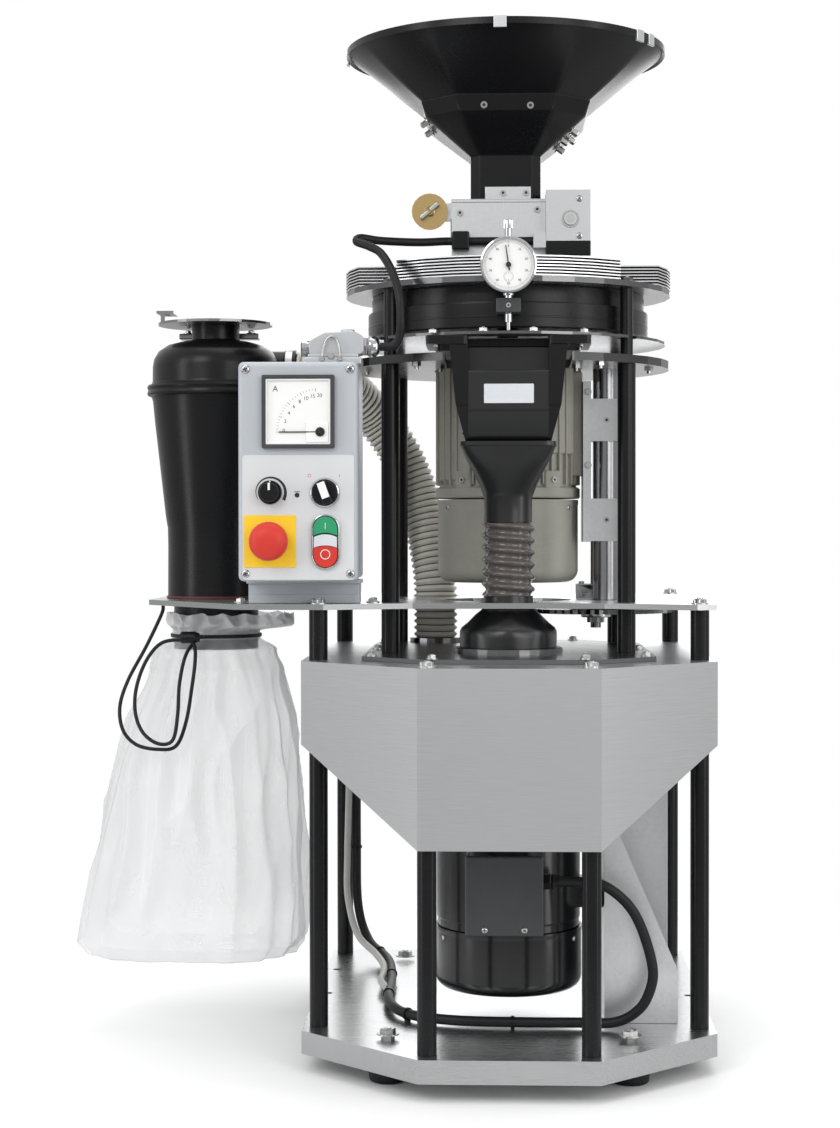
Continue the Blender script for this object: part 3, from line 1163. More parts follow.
def eight_sided(angle, half, face):
    """Distance from the axis to a square with cut corners."""
    straight = half / max(abs(math.cos(angle)), abs(math.sin(angle)))
    slanted = (half + face) / math.sqrt(2) / max(
        abs(math.cos(angle - math.pi / 4)), abs(math.cos(angle + math.pi / 4)))
    return min(straight, slanted)


def build_feed(sizes, colours):
    """Hopper, dosing box, drive and the brass dosing disc."""
    centre = (-0.0025, HEAD_Y)
    sides = 192

    def hopper_ring(z, half, face, round_radius, share, grow=0.0):
        ring = []
        for side in range(sides):
            angle = math.tau * side / sides
            radius = blend_value(eight_sided(angle, half, face), round_radius, share) + grow
            ring.append((centre[0] + radius * math.cos(angle), centre[1] + radius * math.sin(angle), z))
        return ring

    work = Workpiece()
    rows = []
    count = 14
    for step in range(count + 1):
        share = step / count
        z = blend_value(1.121, 1.062, share)
        radius = blend_value(0.1785, 0.105, share ** 0.94)
        half = blend_value(0.172, 0.0945, share ** 0.96)
        face = blend_value(0.088, 0.0552, share)
        rows.append((z, half, face, radius, (1 - share) ** 1.3))
    outside = [hopper_ring(1.127, 0.18, 0.1, 0.1815, 1.0), hopper_ring(1.1268, 0.18, 0.1, 0.182, 1.0),
               hopper_ring(1.1195, 0.18, 0.1, 0.182, 1.0), hopper_ring(1.119, 0.18, 0.1, 0.1812, 1.0)]
    outside += [hopper_ring(*row) for row in rows]
    for z, half, face in (
        (1.0605, 0.0948, 0.0552), (1.046, 0.0906, 0.0503), (1.0438, 0.0895, 0.0497), (1.03, 0.0727, 0.0434),
        (1.016, 0.0556, 0.0363), (1.0045, 0.0413, 0.0306), (1.0025, 0.0398, 0.03), (0.954, 0.0398, 0.03),
        (0.9523, 0.0394, 0.0297),
    ):
        outside.append(hopper_ring(z, half, face, 0.1, 0.0))
    wall = 0.0025
    inside = [hopper_ring(0.9523, 0.0398 - wall, 0.03 - wall, 0.1, 0.0),
              hopper_ring(1.004, 0.0398 - wall, 0.03 - wall, 0.1, 0.0),
              hopper_ring(1.045, 0.09 - wall, 0.05 - wall, 0.1, 0.0)]
    inside += [hopper_ring(*row, grow=-wall) for row in rows[::-1]]
    inside += [hopper_ring(1.125, 0.18, 0.1, 0.179, 1.0), hopper_ring(1.127, 0.18, 0.1, 0.1798, 1.0)]
    work.rings(outside + inside, around=True)
    hopper = work.show("hopper_shell", paints("black_plastic"), nodes=("hopper",), slot="black_plastic", sharp=28)

    places = []
    for across, down in ((484, 104.5), (530.4, 104.9)):
        point, normal = seen_on(hopper, across, down)
        places.append(facing(point, normal, across))
    fasteners("hopper_screws", socket_screw(0.0038, 0.0024), places)
    slope = Vector((math.cos(0.62), 0.0, -math.sin(0.62)))
    places = []
    for side, along, y in ((1, 0.3, 0.078), (1, 0.52, 0.084), (1, 0.34, 0.12), (1, 0.6, 0.118), (-1, 0.02, 0.08),
                           (-1, 0.1, 0.12)):
        across = blend_value(0.0898, 0.04, along)
        height = blend_value(1.0438, 1.0025, along)
        normal = Vector((side * slope.x, 0.0, slope.z))
        places.append(facing((centre[0] + side * across, y, height), normal, along))
    fasteners("hopper_studs", hexagon_bolt(0.0038, 0.0075, 0.006), places)
    clips = Workpiece()
    grip = template(lambda part: part.block((-0.007, -0.0018, 1.115), (0.007, 0.0013, 1.1278), bend=0.0005))
    for degrees in (-92, -28, -36, 88, 178):
        turn = math.radians(degrees)
        direction = Vector((math.cos(turn), math.sin(turn), 0))
        clips.stamp(grip, Matrix.Translation(Vector((*centre, 0)) + direction * 0.1815)
                    @ Matrix.Rotation(turn + math.pi / 2, 4, "Z"))
    clips.show("rim_clips", paints("galvanised"), slot="bare_aluminium")

    keep("dosing_box", "galvanised", 0.0006)
    keep("dosing_drive", "galvanised", 0.001)
    keep("dosing_disc", "brass", 0.0003)
    flange = Workpiece()
    flange.block((-0.064, 0.0592, 0.948), (0.0428, 0.1604, 0.9515), bend=0.0006)
    flange.block((-0.064, 0.0592, 0.8722), (0.0428, 0.1604, 0.8752), bend=0.0006)
    flange.show("dosing_flanges", paints("galvanised"), slot="bare_aluminium")
    plate = Workpiece()
    outline = [(-0.0258, 0.951), (0.0258, 0.951)] + arc(0.0198, 0.9604, 0.006, 0, 90, 6) + arc(
        -0.0198, 0.9604, 0.006, 90, 180, 6)
    plate.sheet([outline], 0.0636, 0.0652, "Y", 0.0004)
    plate.show("neck_bracket", paints("galvanised"), slot="bare_aluminium")
    places = [to_front(x, 0.0636, 0.9592, x * 40) for x in (-0.0055, 0.0205)]
    places += [to_front(x, 0.0596, z, x * 30) for x, z in ((-0.054, 0.9365), (-0.0545, 0.886), (0.033, 0.94))]
    fasteners("dosing_screws", socket_screw(0.0035, 0.0022), places)
    comb = Workpiece()
    for step in range(9):
        comb.block((-0.0641 - 0.0006, 0.064 + 0.004 * step, 0.905), (-0.0634, 0.066 + 0.004 * step, 0.93))
    comb.show("scale_comb", paints("dark_grey"), slot="black_coat")
    Workpiece().block((-0.063, 0.043, 0.893), (-0.0432, 0.0612, 0.914), bend=0.0022).show(
        "cable_clamp", paints("black_plastic"), slot="black_plastic")
    fitting = Workpiece()
    fitting.turned([(0.0085, 0.0285), (0.0085, 0.0325), (0.007, 0.0335), (0.0076, 0.035), (0.0076, 0.0424)],
                   (0.0525, 0.9035), axis="X", sides=40, bend=0.0006)
    fitting.show("cable_fitting", paints("light_grey_plastic"), slot="light_grey_plastic")

    low, high = span("dosing_drive")
    Workpiece().block((low.x - 0.0004, 0.0446, 0.886), (high.x + 0.0004, 0.1054, 0.903), bend=0.0012).show(
        "drive_foot", paints("black_plastic"), slot="black_plastic")
    cap = Workpiece()
    cap.turned([(0.0098, 0.0436), (0.0098, 0.045), (0.008, 0.045), (0.008, 0.0436)], (0.07, 0.927), axis="Y",
               sides=48, around=True, paint=1)
    cap.turned([(0.004, 0.0408), (0.0068, 0.0412), (0.0072, 0.0424), (0.0072, 0.045)], (0.07, 0.927), axis="Y",
               sides=48)
    cap.show("drive_cap", paints("light_grey_plastic", "zinc_parts"), slot="light_grey_plastic")
    fasteners("drive_screws", cross_screw(0.0037, 0.0022), [to_front(0.08, 0.045, z, z) for z in (0.9496, 0.9082)])
    disc = (-0.0882, 0.9383)
    work = Workpiece()
    for outer, inner, front in ((0.0186, 0.0176, 0.0599), (0.011, 0.0104, 0.05985)):
        work.turned([(outer, 0.0602), (outer, front), (inner, front), (inner, 0.0602)], disc, axis="Y", sides=96,
                    around=True)
    work.show("disc_rings", paints("brass"), "dosing_disc", slot="brass")
    wings = Workpiece().turned([(0.0044, 0.053), (0.0052, 0.054), (0.006, 0.0602)], disc, axis="Y", sides=32)
    blade = template(lambda part: part.block((0.001, -0.0078, -0.0024), (0.0132, -0.0008, 0.0024), bend=0.001))
    place = Matrix.Translation((disc[0], 0.06, disc[1])) @ Matrix.Rotation(math.radians(-40), 4, "Y")
    wings.stamp(blade, place)
    wings.stamp(blade, place @ Matrix.Rotation(math.pi, 4, "Y"))
    wings.show("wing_nut", paints("zinc_parts"), "dosing_disc", slot="bare_aluminium")


# ---- Cyclone, suction hose and bag

def build_cyclone(sizes, colours):
    """Cyclone with its air slide, the ribbed hose and the husk bag."""
    axis = CYCLONE_AXIS
    work = Workpiece()
    outside = [
        (0.0495, 0.44), (0.0495, 0.4993), (0.056, 0.4993), (0.0565, 0.501), (0.0562, 0.56), (0.0566, 0.581),
        (0.059, 0.596), (0.065, 0.65), (0.071, 0.703), (0.0736, 0.73), (0.0752, 0.735), (0.079, 0.7362),
        (0.0803, 0.7385), (0.0797, 0.741), (0.079, 0.7425), (0.0797, 0.744), (0.0803, 0.7462), (0.079, 0.7486),
        (0.0752, 0.7498), (0.0739, 0.753), (0.0737, 0.77),
        (0.0722, 0.779), (0.067, 0.788), (0.056, 0.7955), (0.04, 0.7998), (0.03, 0.8005), (0.0283, 0.802),
        (0.028, 0.805), (0.028, 0.8185),
    ]
    inside = [(max(radius - 0.0025, 0.02), z) for radius, z in outside[::-1]]
    work.turned(outside + inside, axis, sides=144, around=True)
    work.turned([(0.0265, -0.3434), (0.0265, -0.266), (0.0278, -0.265), (0.0278, -0.252), (0.0232, -0.252),
                 (0.0232, -0.3434)], (0.203, 0.7665), axis="X", sides=72, around=True, bend=0.0006)
    work.show("cyclone_shell", paints("black_plastic"), nodes=("cyclone",), slot="black_plastic", sharp=40)
    seal = Workpiece().turned([(0.0555, 0.4992), (0.058, 0.4994), (0.058, 0.5018), (0.0555, 0.5022)], axis,
                              sides=128, around=True, bend=0.0005)
    seal.show("cyclone_seal", paints("red_seal"), slot="black_rubber")
    clamp = Workpiece()
    clamp.turned([(0.0278, -0.264), (0.029, -0.264), (0.029, -0.256), (0.0278, -0.256)], (0.203, 0.7665),
                 axis="X", sides=64, around=True)
    clamp.show("hose_clamp", paints("zinc_parts"), slot="bare_aluminium")
    keep("air_slide", "tube_steel", 0.0004)
    Workpiece().block((axis[0] - 0.0475, 0.1826, 0.8062), (axis[0] + 0.0475, 0.2034, 0.8128), bend=0.0012).show(
        "slide_bracket", paints("tube_steel"), slot="polished_sheet")
    fasteners("slide_bolts", hexagon_bolt(0.004, 0.0028, 0.006),
              [upright(axis[0] + x, 0.1932, 0.8128, x * 9) for x in (-0.038, 0.038)])

    route = smooth_route(SUCTION_HOSE_ROUTE)
    length = route_length(route)
    ribs = round(length / sizes.hose_pitch)
    steps = ribs * 10
    radii = []
    bands = []
    for step in range(steps + 1):
        ripple = 0.5 - 0.5 * math.cos(math.tau * step / 10)
        radii.append(0.0228 + 0.0034 * ripple ** 0.8)
        bands.append(1 if step % 10 in (0, 9) else 0)
    work = Workpiece().tube(spaced(route, steps), radii, sides=40, paint=bands)
    work.show("suction_hose_wall", paints("beige_hose", "hose_groove"), nodes=("suction_hose",), slot="beige_hose",
              sharp=75)
    build_bag(sizes)


BAG_SECTIONS = (
    (0.483, 0.405, 0.25, 0.072), (0.472, 0.405, 0.246, 0.074), (0.4605, 0.3948, 0.292, 0.0514),
    (0.4535, 0.3948, 0.292, 0.0514), (0.438, 0.42, 0.27, 0.075), (0.414, 0.427, 0.2585, 0.085),
    (0.36, 0.452, 0.2455, 0.096), (0.286, 0.472, 0.24, 0.104), (0.209, 0.486, 0.236, 0.108),
    (0.153, 0.497, 0.233, 0.11), (0.1, 0.504, 0.237, 0.108), (0.085, 0.492, 0.248, 0.098),
)


def bag_size(z):
    """Left reach, right reach and half depth of the bag at a height, smoothly between its sections."""
    rows = BAG_SECTIONS
    for upper, lower in zip(rows, rows[1:]):
        if z >= lower[0]:
            share = (upper[0] - z) / (upper[0] - lower[0])
            share = share * share * (3 - 2 * share) if upper[0] > 0.43 else share
            return [blend_value(a, b, min(max(share, 0), 1)) for a, b in zip(upper[1:], lower[1:])]
    return list(rows[-1][1:])


def build_bag(sizes):
    """Clear film bag, gathered at the neck, sagging in long folds to a creased bottom."""
    work = Workpiece()
    sides = 260
    rows = 190
    rings = []
    for row in range(rows + 1):
        z = blend_value(BAG_TOP, BAG_LOW, row / rows)
        left, right, depth = bag_size(z)
        middle = -(left + right) / 2
        half = (left - right) / 2
        from_neck = abs(z - BAG_NECK)
        gather = math.exp(-(from_neck / 0.045) ** 2)
        low = min(max((0.42 - z) / 0.3, 0.0), 1.0)
        ring = []
        for side in range(sides):
            angle = math.tau * side / sides
            c, s = math.cos(angle), math.sin(angle)
            power = blend_value(2.0, 3.1, low)
            reach = (abs(c) ** power + abs(s) ** power) ** (-1 / power)
            pleat = math.sin(21 * angle + 2.2 * noise.noise(Vector((c * 1.5, s * 1.5, z * 5))))
            fold = noise.noise(Vector((c * 2.3 + z * 1.5, s * 2.3, z * 4.0 + 3)))
            fold = 1 - 2 * abs(fold) * 1.7
            crease = noise.noise(Vector((c * 3.6 + 4, s * 3.6 - z * 5, z * 9)))
            crease = 1 - 2 * abs(crease) * 1.6
            shift = pleat * 0.0017 * gather * min(1.0, from_neck / 0.012)
            shift += (fold - 0.75) * sizes.film_fold * min(1.0, from_neck / 0.06)
            shift += (crease - 0.75) * 0.003 * min(1.0, from_neck / 0.09)
            shift -= 0.001 * min(1.0, from_neck / 0.09)
            loose = min(max((z - 0.4605) / 0.01, 0.0), 1.0)
            crumple = noise.noise(Vector((c * 4.5, s * 4.5, z * 60)))
            shift -= loose * (0.012 * abs(crumple) + 0.0008)
            grow = 1 + shift / max(half, 0.03)
            x = middle + half * c * reach * grow
            y = CYCLONE_AXIS[1] + depth * s * reach * grow
            sag = 0.006 * noise.noise(Vector((c * 2.2, s * 2.2, 9.0))) * max(0.0, (0.16 - z) / 0.08)
            droop = 0.008 * loose * abs(noise.noise(Vector((c * 3.0, s * 3.0, 21.0))))
            ring.append((x, y, z + max(sag, 0.0) - droop))
        rings.append(ring)
    last = rings[-1]
    count = len(last)
    centre = Vector((sum(p[0] for p in last) / count, sum(p[1] for p in last) / count, 0.088))
    for share in (0.94, 0.8, 0.55, 0.25, 0.02):
        ring = []
        for point in last:
            place = centre.lerp(Vector(point), share)
            wave = 0.003 * noise.noise(Vector((place.x * 30, place.y * 30, share)))
            ring.append((place.x, place.y, 0.0845 + 0.002 * (1 - share) + wave * min(1, 3 * (1 - share))))
        rings.append(ring)
    neck = 15
    work.rings(rings[neck:], ends=False)
    work.show("husk_bag_film", paints("clear_film"), nodes=("husk_bag",), slot="clear_film", sharp=170)
    mouth = Workpiece().rings(rings[:neck + 1], ends=False)
    mouth.show("husk_bag_mouth", paints("dense_film"), slot="clear_film", sharp=60)
    band = Workpiece()
    band.turned([(0.0514, 0.4534), (0.0536, 0.4534), (0.0536, 0.4576), (0.0514, 0.4576)], CYCLONE_AXIS, sides=96,
                around=True, bend=0.0008)
    band.show("neck_band", paints("black_rubber"), slot="black_rubber")
    toggle = template(lambda part: part.turned(
        [(0.0058, -0.011), (0.007, -0.009), (0.007, 0.006), (0.0062, 0.0075), (0.005, 0.011)], sides=40,
        bend=0.0008))
    stopper = Workpiece()
    stopper.stamp(toggle, Matrix.Translation((-0.363, 0.073, 0.456)) @ Matrix.Rotation(math.pi / 2, 4, "Y"))
    stopper.show("cord_toggle", paints("black_plastic"), slot="black_plastic")


# ---- Control box

def build_controls(sizes, colours):
    """Control box, meter, knobs, buttons and the cable connector."""
    work = Workpiece()
    work.block((-0.2837, -0.13, 0.5246), (-0.1577, -0.108, 0.7549), bend=0.0055)
    work.block((-0.2817, -0.1078, 0.5266), (-0.1597, -0.012, 0.7529), bend=0.004)
    work.show("box_shell", paints("grey_enamel"), nodes=("control_box",), slot="grey_enamel")
    seal = Workpiece().block((-0.2822, -0.1088, 0.5261), (-0.1592, -0.107, 0.7534), bend=0.0008)
    seal.show("lid_seal", paints("black_rubber"), slot="black_rubber")
    plinth = Workpiece()
    plinth.block((-0.2817, -0.052, 0.4993), (-0.1617, -0.012, 0.5246), bend=0.0012)
    plinth.block((-0.2837, -0.056, 0.5206), (-0.1597, -0.012, 0.5252), bend=0.0012)
    plinth.block((-0.279, -0.0535, 0.4993), (-0.164, -0.0505, 0.509), bend=0.0008)
    plinth.show("box_plinth", paints("grey_enamel"), slot="grey_enamel")
    front = Workpiece().sheet([rectangle(-0.2791, 0.5263, -0.1615, 0.657, 0.004, 5)], -0.1307, -0.1299, "Y", 0.0002)
    front.show("front_sheet", paints("pale_sheet"), slot="white_plastic")
    corners = [to_front(x, -0.13, z, 0.4 + x * 40) for x in (-0.2757, -0.1657) for z in (0.5326, 0.7469)]
    fasteners("lid_screws", cross_screw(0.0047, 0.0026), corners, ("chrome", "black_print"))

    # Panel meter
    work = Workpiece()
    outer = rectangle(-0.2582, 0.6639, -0.1819, 0.7407, 0.002, 4)
    inner = rectangle(-0.254, 0.6681, -0.1861, 0.7365, 0.001)
    work.sheet([outer, inner], -0.136, -0.13, "Y", 0.0006)
    work.show("meter_frame", paints("dark_grey"), nodes=("ammeter",), slot="black_plastic")
    face = Workpiece()
    face.sheet([rectangle(-0.2541, 0.668, -0.186, 0.7366)], -0.1322, -0.13, "Y", 0.0002)
    face.sheet([inner, rectangle(-0.2524, 0.6697, -0.1877, 0.7349, 0.001)], -0.135, -0.132, "Y", 0.0003)
    face.block((-0.212, -0.1338, 0.67), (-0.188, -0.132, 0.6915), bend=0.0007)
    pivot = (-0.197, 0.681)
    ticks(face, pivot, 0.044, 0.0462, 0.0003, 21, -0.13226, start=-90, sweep=88, long_every=5, longer=0.0015)
    for number, degrees in (
        ("0", -88), ("2", -73), ("4", -59), ("6", -46), ("8", -34), ("10", -23), ("15", -12), ("20", -1),
    ):
        angle = math.radians(degrees)
        place = (pivot[0] + 0.0382 * math.sin(angle), -0.13224, pivot[1] + 0.0382 * math.cos(angle))
        face.words(number, 0.0054, place, paint=1)
    face.words("A", 0.0085, (-0.244, -0.13224, 0.726), paint=1)
    face.show("meter_face", paints("white_plastic", "black_print"), slot="white_plastic")
    keep("ammeter_needle", "black_print")
    fasteners("meter_screw", cross_screw(0.0042, 0.0016), [to_front(pivot[0], -0.1338, pivot[1], 0.6)],
              ("black_plastic", "dark_grey"))

    # Speed knob
    knob = Workpiece()
    centre = (-0.2498, 0.618)
    skirt = circle(centre, 0.0125, 96)
    ridges = []
    for step in range(72):
        angle = math.tau * step / 72
        radius = 0.0105 if step % 2 else 0.01
        ridges.append((centre[0] + radius * math.cos(angle), centre[1] + radius * math.sin(angle)))
    front_y = span("speed_knob")[0].y
    back_y = -0.1306
    knob.rings([level(skirt, back_y - 0.0002, "Y"), level(skirt, back_y - 0.003, "Y"),
                level(circle(centre, 0.0118, 96), back_y - 0.0036, "Y")])
    shrunk = [(centre[0] + (x - centre[0]) * 0.93, centre[1] + (z - centre[1]) * 0.93) for x, z in ridges]
    knob.rings([level(ridges, back_y - 0.0034, "Y"), level(ridges, front_y + 0.001, "Y"),
                level(shrunk, front_y, "Y")])
    knob.block((centre[0] - 0.0011, front_y - 0.0001, centre[1] + 0.0022),
               (centre[0] + 0.0011, front_y + 0.001, centre[1] + 0.0097), paint=1)
    knob.block((centre[0] - 0.0007, back_y - 0.004, centre[1] + 0.0098),
               (centre[0] + 0.0007, back_y - 0.003, centre[1] + 0.0121), paint=1)
    knob.show("speed_knob_cap", paints("black_plastic", "white_plastic"), "speed_knob", ("speed_knob",),
              "black_plastic")
    marks = Workpiece()
    outer_line = []
    inner_line = []
    for step in range(49):
        share = step / 48
        angle = math.radians(210 - 240 * share)
        reach = 0.015 + 0.003 * share
        outer_line.append((centre[0] + reach * math.cos(angle), centre[1] + reach * math.sin(angle)))
        inner_line.append((centre[0] + 0.0146 * math.cos(angle), centre[1] + 0.0146 * math.sin(angle)))
    marks.prism(outer_line + inner_line[::-1], -0.13082, -0.1307, "Y")
    marks.words("O", 0.0052, (-0.2085, -0.1307, 0.6352), paint=1)
    marks.words("I", 0.0044, (-0.177, -0.1307, 0.6352))
    marks.turned([(0.0026, -0.13082), (0.0026, -0.1307)], (-0.2215, 0.615), axis="Y", sides=32)
    marks.block((-0.2245, -0.13082, 0.6182), (-0.2185, -0.1307, 0.6189))
    marks.show("scale_marks", paints("black_print", "red_plastic"), slot="black_plastic")

    # Selector
    centre = (-0.1923, 0.6175)
    ring = Workpiece().turned(
        [(0.0132, -0.1306), (0.0158, -0.1306), (0.0158, -0.1322), (0.015, -0.134), (0.014, -0.1345),
         (0.0132, -0.134)], centre, axis="Y", sides=96, around=True)
    ring.show("selector_ring", paints("chrome"), slot="polished_sheet")
    turner = Workpiece()
    front_y = span("selector_knob")[0].y
    turner.turned([(0.0128, -0.1308), (0.0128, -0.1345), (0.012, -0.1352)], centre, axis="Y", sides=96)
    bar = template(lambda part: part.block((-0.005, 0.0, -0.012), (0.005, 0.0088, 0.012), bend=0.0014))
    tilt = Matrix.Rotation(math.radians(-20), 4, "Y")
    place = Matrix.Translation((centre[0], front_y, centre[1]))
    turner.stamp(bar, place @ tilt)
    painted = template(lambda part: part.block((-0.0041, -0.0002, -0.006), (0.0041, 0.0006, 0.0112), paint=1,
                                               bend=0.0002))
    turner.stamp(painted, place @ tilt)
    turner.show("selector_cap", paints("black_plastic", "white_plastic"), "selector_knob", ("selector_knob",),
                "black_plastic")

    # Emergency stop
    plate = Workpiece().sheet([rectangle(-0.2773, 0.5393, -0.2228, 0.594, 0.0015, 4)], -0.1316, -0.1307, "Y", 0.0002)
    plate.show("yellow_plate", paints("yellow_plate"), slot="white_plastic")
    centre = (-0.2498, 0.5667)
    collar = Workpiece().turned([(0.0142, -0.1316), (0.0182, -0.1316), (0.0182, -0.133), (0.0165, -0.1345),
                                 (0.016, -0.135), (0.0142, -0.135)], centre, axis="Y", sides=96, around=True)
    collar.show("stop_collar", paints("dark_grey"), slot="black_plastic")
    front_y = span("emergency_stop")[0].y
    head = Workpiece().turned(
        [(0.012, -0.136), (0.0128, -0.14), (0.015, -0.144), (0.0196, -0.1455), (0.0204, -0.1475),
         (0.0203, -0.152), (0.019, -0.156), (0.015, -0.1592), (0.0095, -0.1609), (0.003, front_y)],
        centre, axis="Y", sides=96)
    head.show("mushroom_head", paints("red_plastic"), "emergency_stop", ("emergency_stop",), "red_plastic", sharp=50)

    # Double push button
    middle = (-0.1916, 0.5661)
    half = 0.0139
    rim = Workpiece().sheet([slot_outline(middle, half, 0.0149), slot_outline(middle, half, 0.0129)],
                            -0.135, -0.1306, "Y", 0.0012)
    rim.show("button_frame", paints("chrome"), slot="polished_sheet")
    bed = Workpiece().sheet([slot_outline(middle, half, 0.0134)], -0.1318, -0.1308, "Y", 0.0002)
    bed.show("button_bed", paints("dark_grey"), slot="black_plastic")
    lens = Workpiece()
    bow = [(middle[0] + x, 0.5722 - 0.0012 + 0.003 * (1 - (x / 0.0122) ** 2)) for x in
           [0.0122 - 0.0244 * s / 16 for s in range(17)]]
    low_bow = [(middle[0] + x, 0.56 + 0.0022 * (1 - (x / 0.0122) ** 2)) for x in
               [-0.0122 + 0.0244 * s / 16 for s in range(17)]]
    lens.prism(bow + low_bow, -0.1362, -0.1312, "Y")
    lens.show("button_lens", paints("blank_label"), slot="white_plastic", edge=0.0005)
    for node, z, colour, sign in (
        ("start_button", 0.579, "green_plastic", "I"), ("stop_button", 0.553, "red_plastic", "O"),
    ):
        button_front = span(node)[0].y
        side = 1 if sign == "I" else -1
        ring_z = middle[1] + side * half
        flat = 0.0126
        cap = [(middle[0] + flat * math.cos(a), ring_z + side * flat * math.sin(a))
               for a in [math.pi * s / 32 for s in range(33)]]
        inner = middle[1] + side * 0.0066
        lift = 0.0028 if sign == "I" else 0.0022
        cap += [(middle[0] + x, inner + lift * (1 - (x / flat) ** 2)) for x in
                [-flat + 2 * flat * s / 12 for s in range(13)]]
        button = Workpiece().prism(cap, -0.1349, button_front + 0.0001, "Y")
        if sign == "I":
            button.block((-0.1919, button_front - 0.0001, z + 0.0005), (-0.1913, button_front + 0.0002, z + 0.007),
                         paint=1)
        else:
            button.turned([(0.0044, button_front - 0.0001), (0.0052, button_front - 0.0001),
                           (0.0052, button_front + 0.0002), (0.0044, button_front + 0.0002)], (middle[0], z), axis="Y",
                          sides=64, paint=1, around=True)
        button.show(node + "_cap", paints(colour, "white_plastic"), node, (node,), colour, edge=0.0006)

    # Connector on the box, with its locking lever and the cable's gland
    hood = Workpiece()
    hood.block((-0.2178, -0.088, 0.7551), (-0.1566, -0.052, 0.763), bend=0.0018)
    hood.block((-0.214, -0.0866, 0.7625), (-0.16, -0.0534, 0.7665), bend=0.0012)
    shape = rounded_corners([(-0.2128, 0.766), (-0.157, 0.766), (-0.1545, 0.77), (-0.1545, 0.785),
                             (-0.164, 0.7905), (-0.196, 0.789), (-0.2128, 0.78)], 0.003, 4)
    hood.turned([(0.0075, 0.788), (0.0075, 0.7925), (0.0064, 0.7935)], (-0.172, -0.07), sides=40)
    hood.prism(shape, -0.0855, -0.0545, "Y")
    hood.turned([(0.0052, 0.787), (0.005, 0.789)], (-0.183, -0.07), sides=40)
    hood.show("connector_hood", paints("cast_grey"), nodes=("control_connector",), slot="bare_aluminium", edge=0.0014)
    lever = Workpiece()
    bail = spaced(smooth_route([(-0.1985, -0.089, 0.76), (-0.1975, -0.0892, 0.77), (-0.1935, -0.0892, 0.781),
                                (-0.188, -0.0892, 0.7845), (-0.183, -0.0892, 0.781), (-0.18, -0.0892, 0.77),
                                (-0.1795, -0.089, 0.76)]), 60)
    lever.tube(bail, 0.0012, sides=16)
    lever.turned([(0.003, -0.0908), (0.0036, -0.09), (0.0036, -0.087)], (-0.189, 0.764), axis="Y", sides=32)
    for x in (-0.1985, -0.1795):
        lever.turned([(0.0024, -0.0906), (0.0028, -0.09), (0.0028, -0.085)], (x, 0.761), axis="Y", sides=32)
    lever.show("locking_lever", paints("zinc_parts"), slot="bare_aluminium")
    gland = Workpiece()
    gland.turned([(0.01, -0.1563), (0.0104, -0.155), (0.0104, -0.1515)], (-0.07, 0.775), axis="X", sides=6)
    gland.turned([(0.0085, -0.1518), (0.0106, -0.15), (0.0115, -0.1465), (0.0108, -0.1425), (0.0085, -0.1395),
                  (0.0062, -0.1382)], (-0.07, 0.775), axis="X", sides=64)
    gland.turned([(0.0066, -0.2222), (0.0092, -0.221), (0.0092, -0.216), (0.0078, -0.2125)], (-0.07, 0.7735),
                 axis="X", sides=48)
    gland.show("connector_gland", paints("chrome"), slot="bare_aluminium")


# ---- Free cords

def build_cords(sizes, colours):
    """Sensor cable and the bag's elastic cord."""
    for name, node, route, radius, count, stiffness in (
        ("sensor_lead", "sensor_cable", SENSOR_CABLE_ROUTE, 0.0046, 260, "medium"),
        ("elastic_cord", "bag_cord", BAG_CORD_ROUTE, 0.0021, 520, "limp"),
    ):
        fine = smooth_route(route, 1600)
        points = spaced(fine, count)
        work = Workpiece().tube(points, radius, sides=16)
        piece = work.show(name, paints("black_rubber"), "frame", (node,), "black_rubber", sharp=70)


# ---- Camera, light and floor

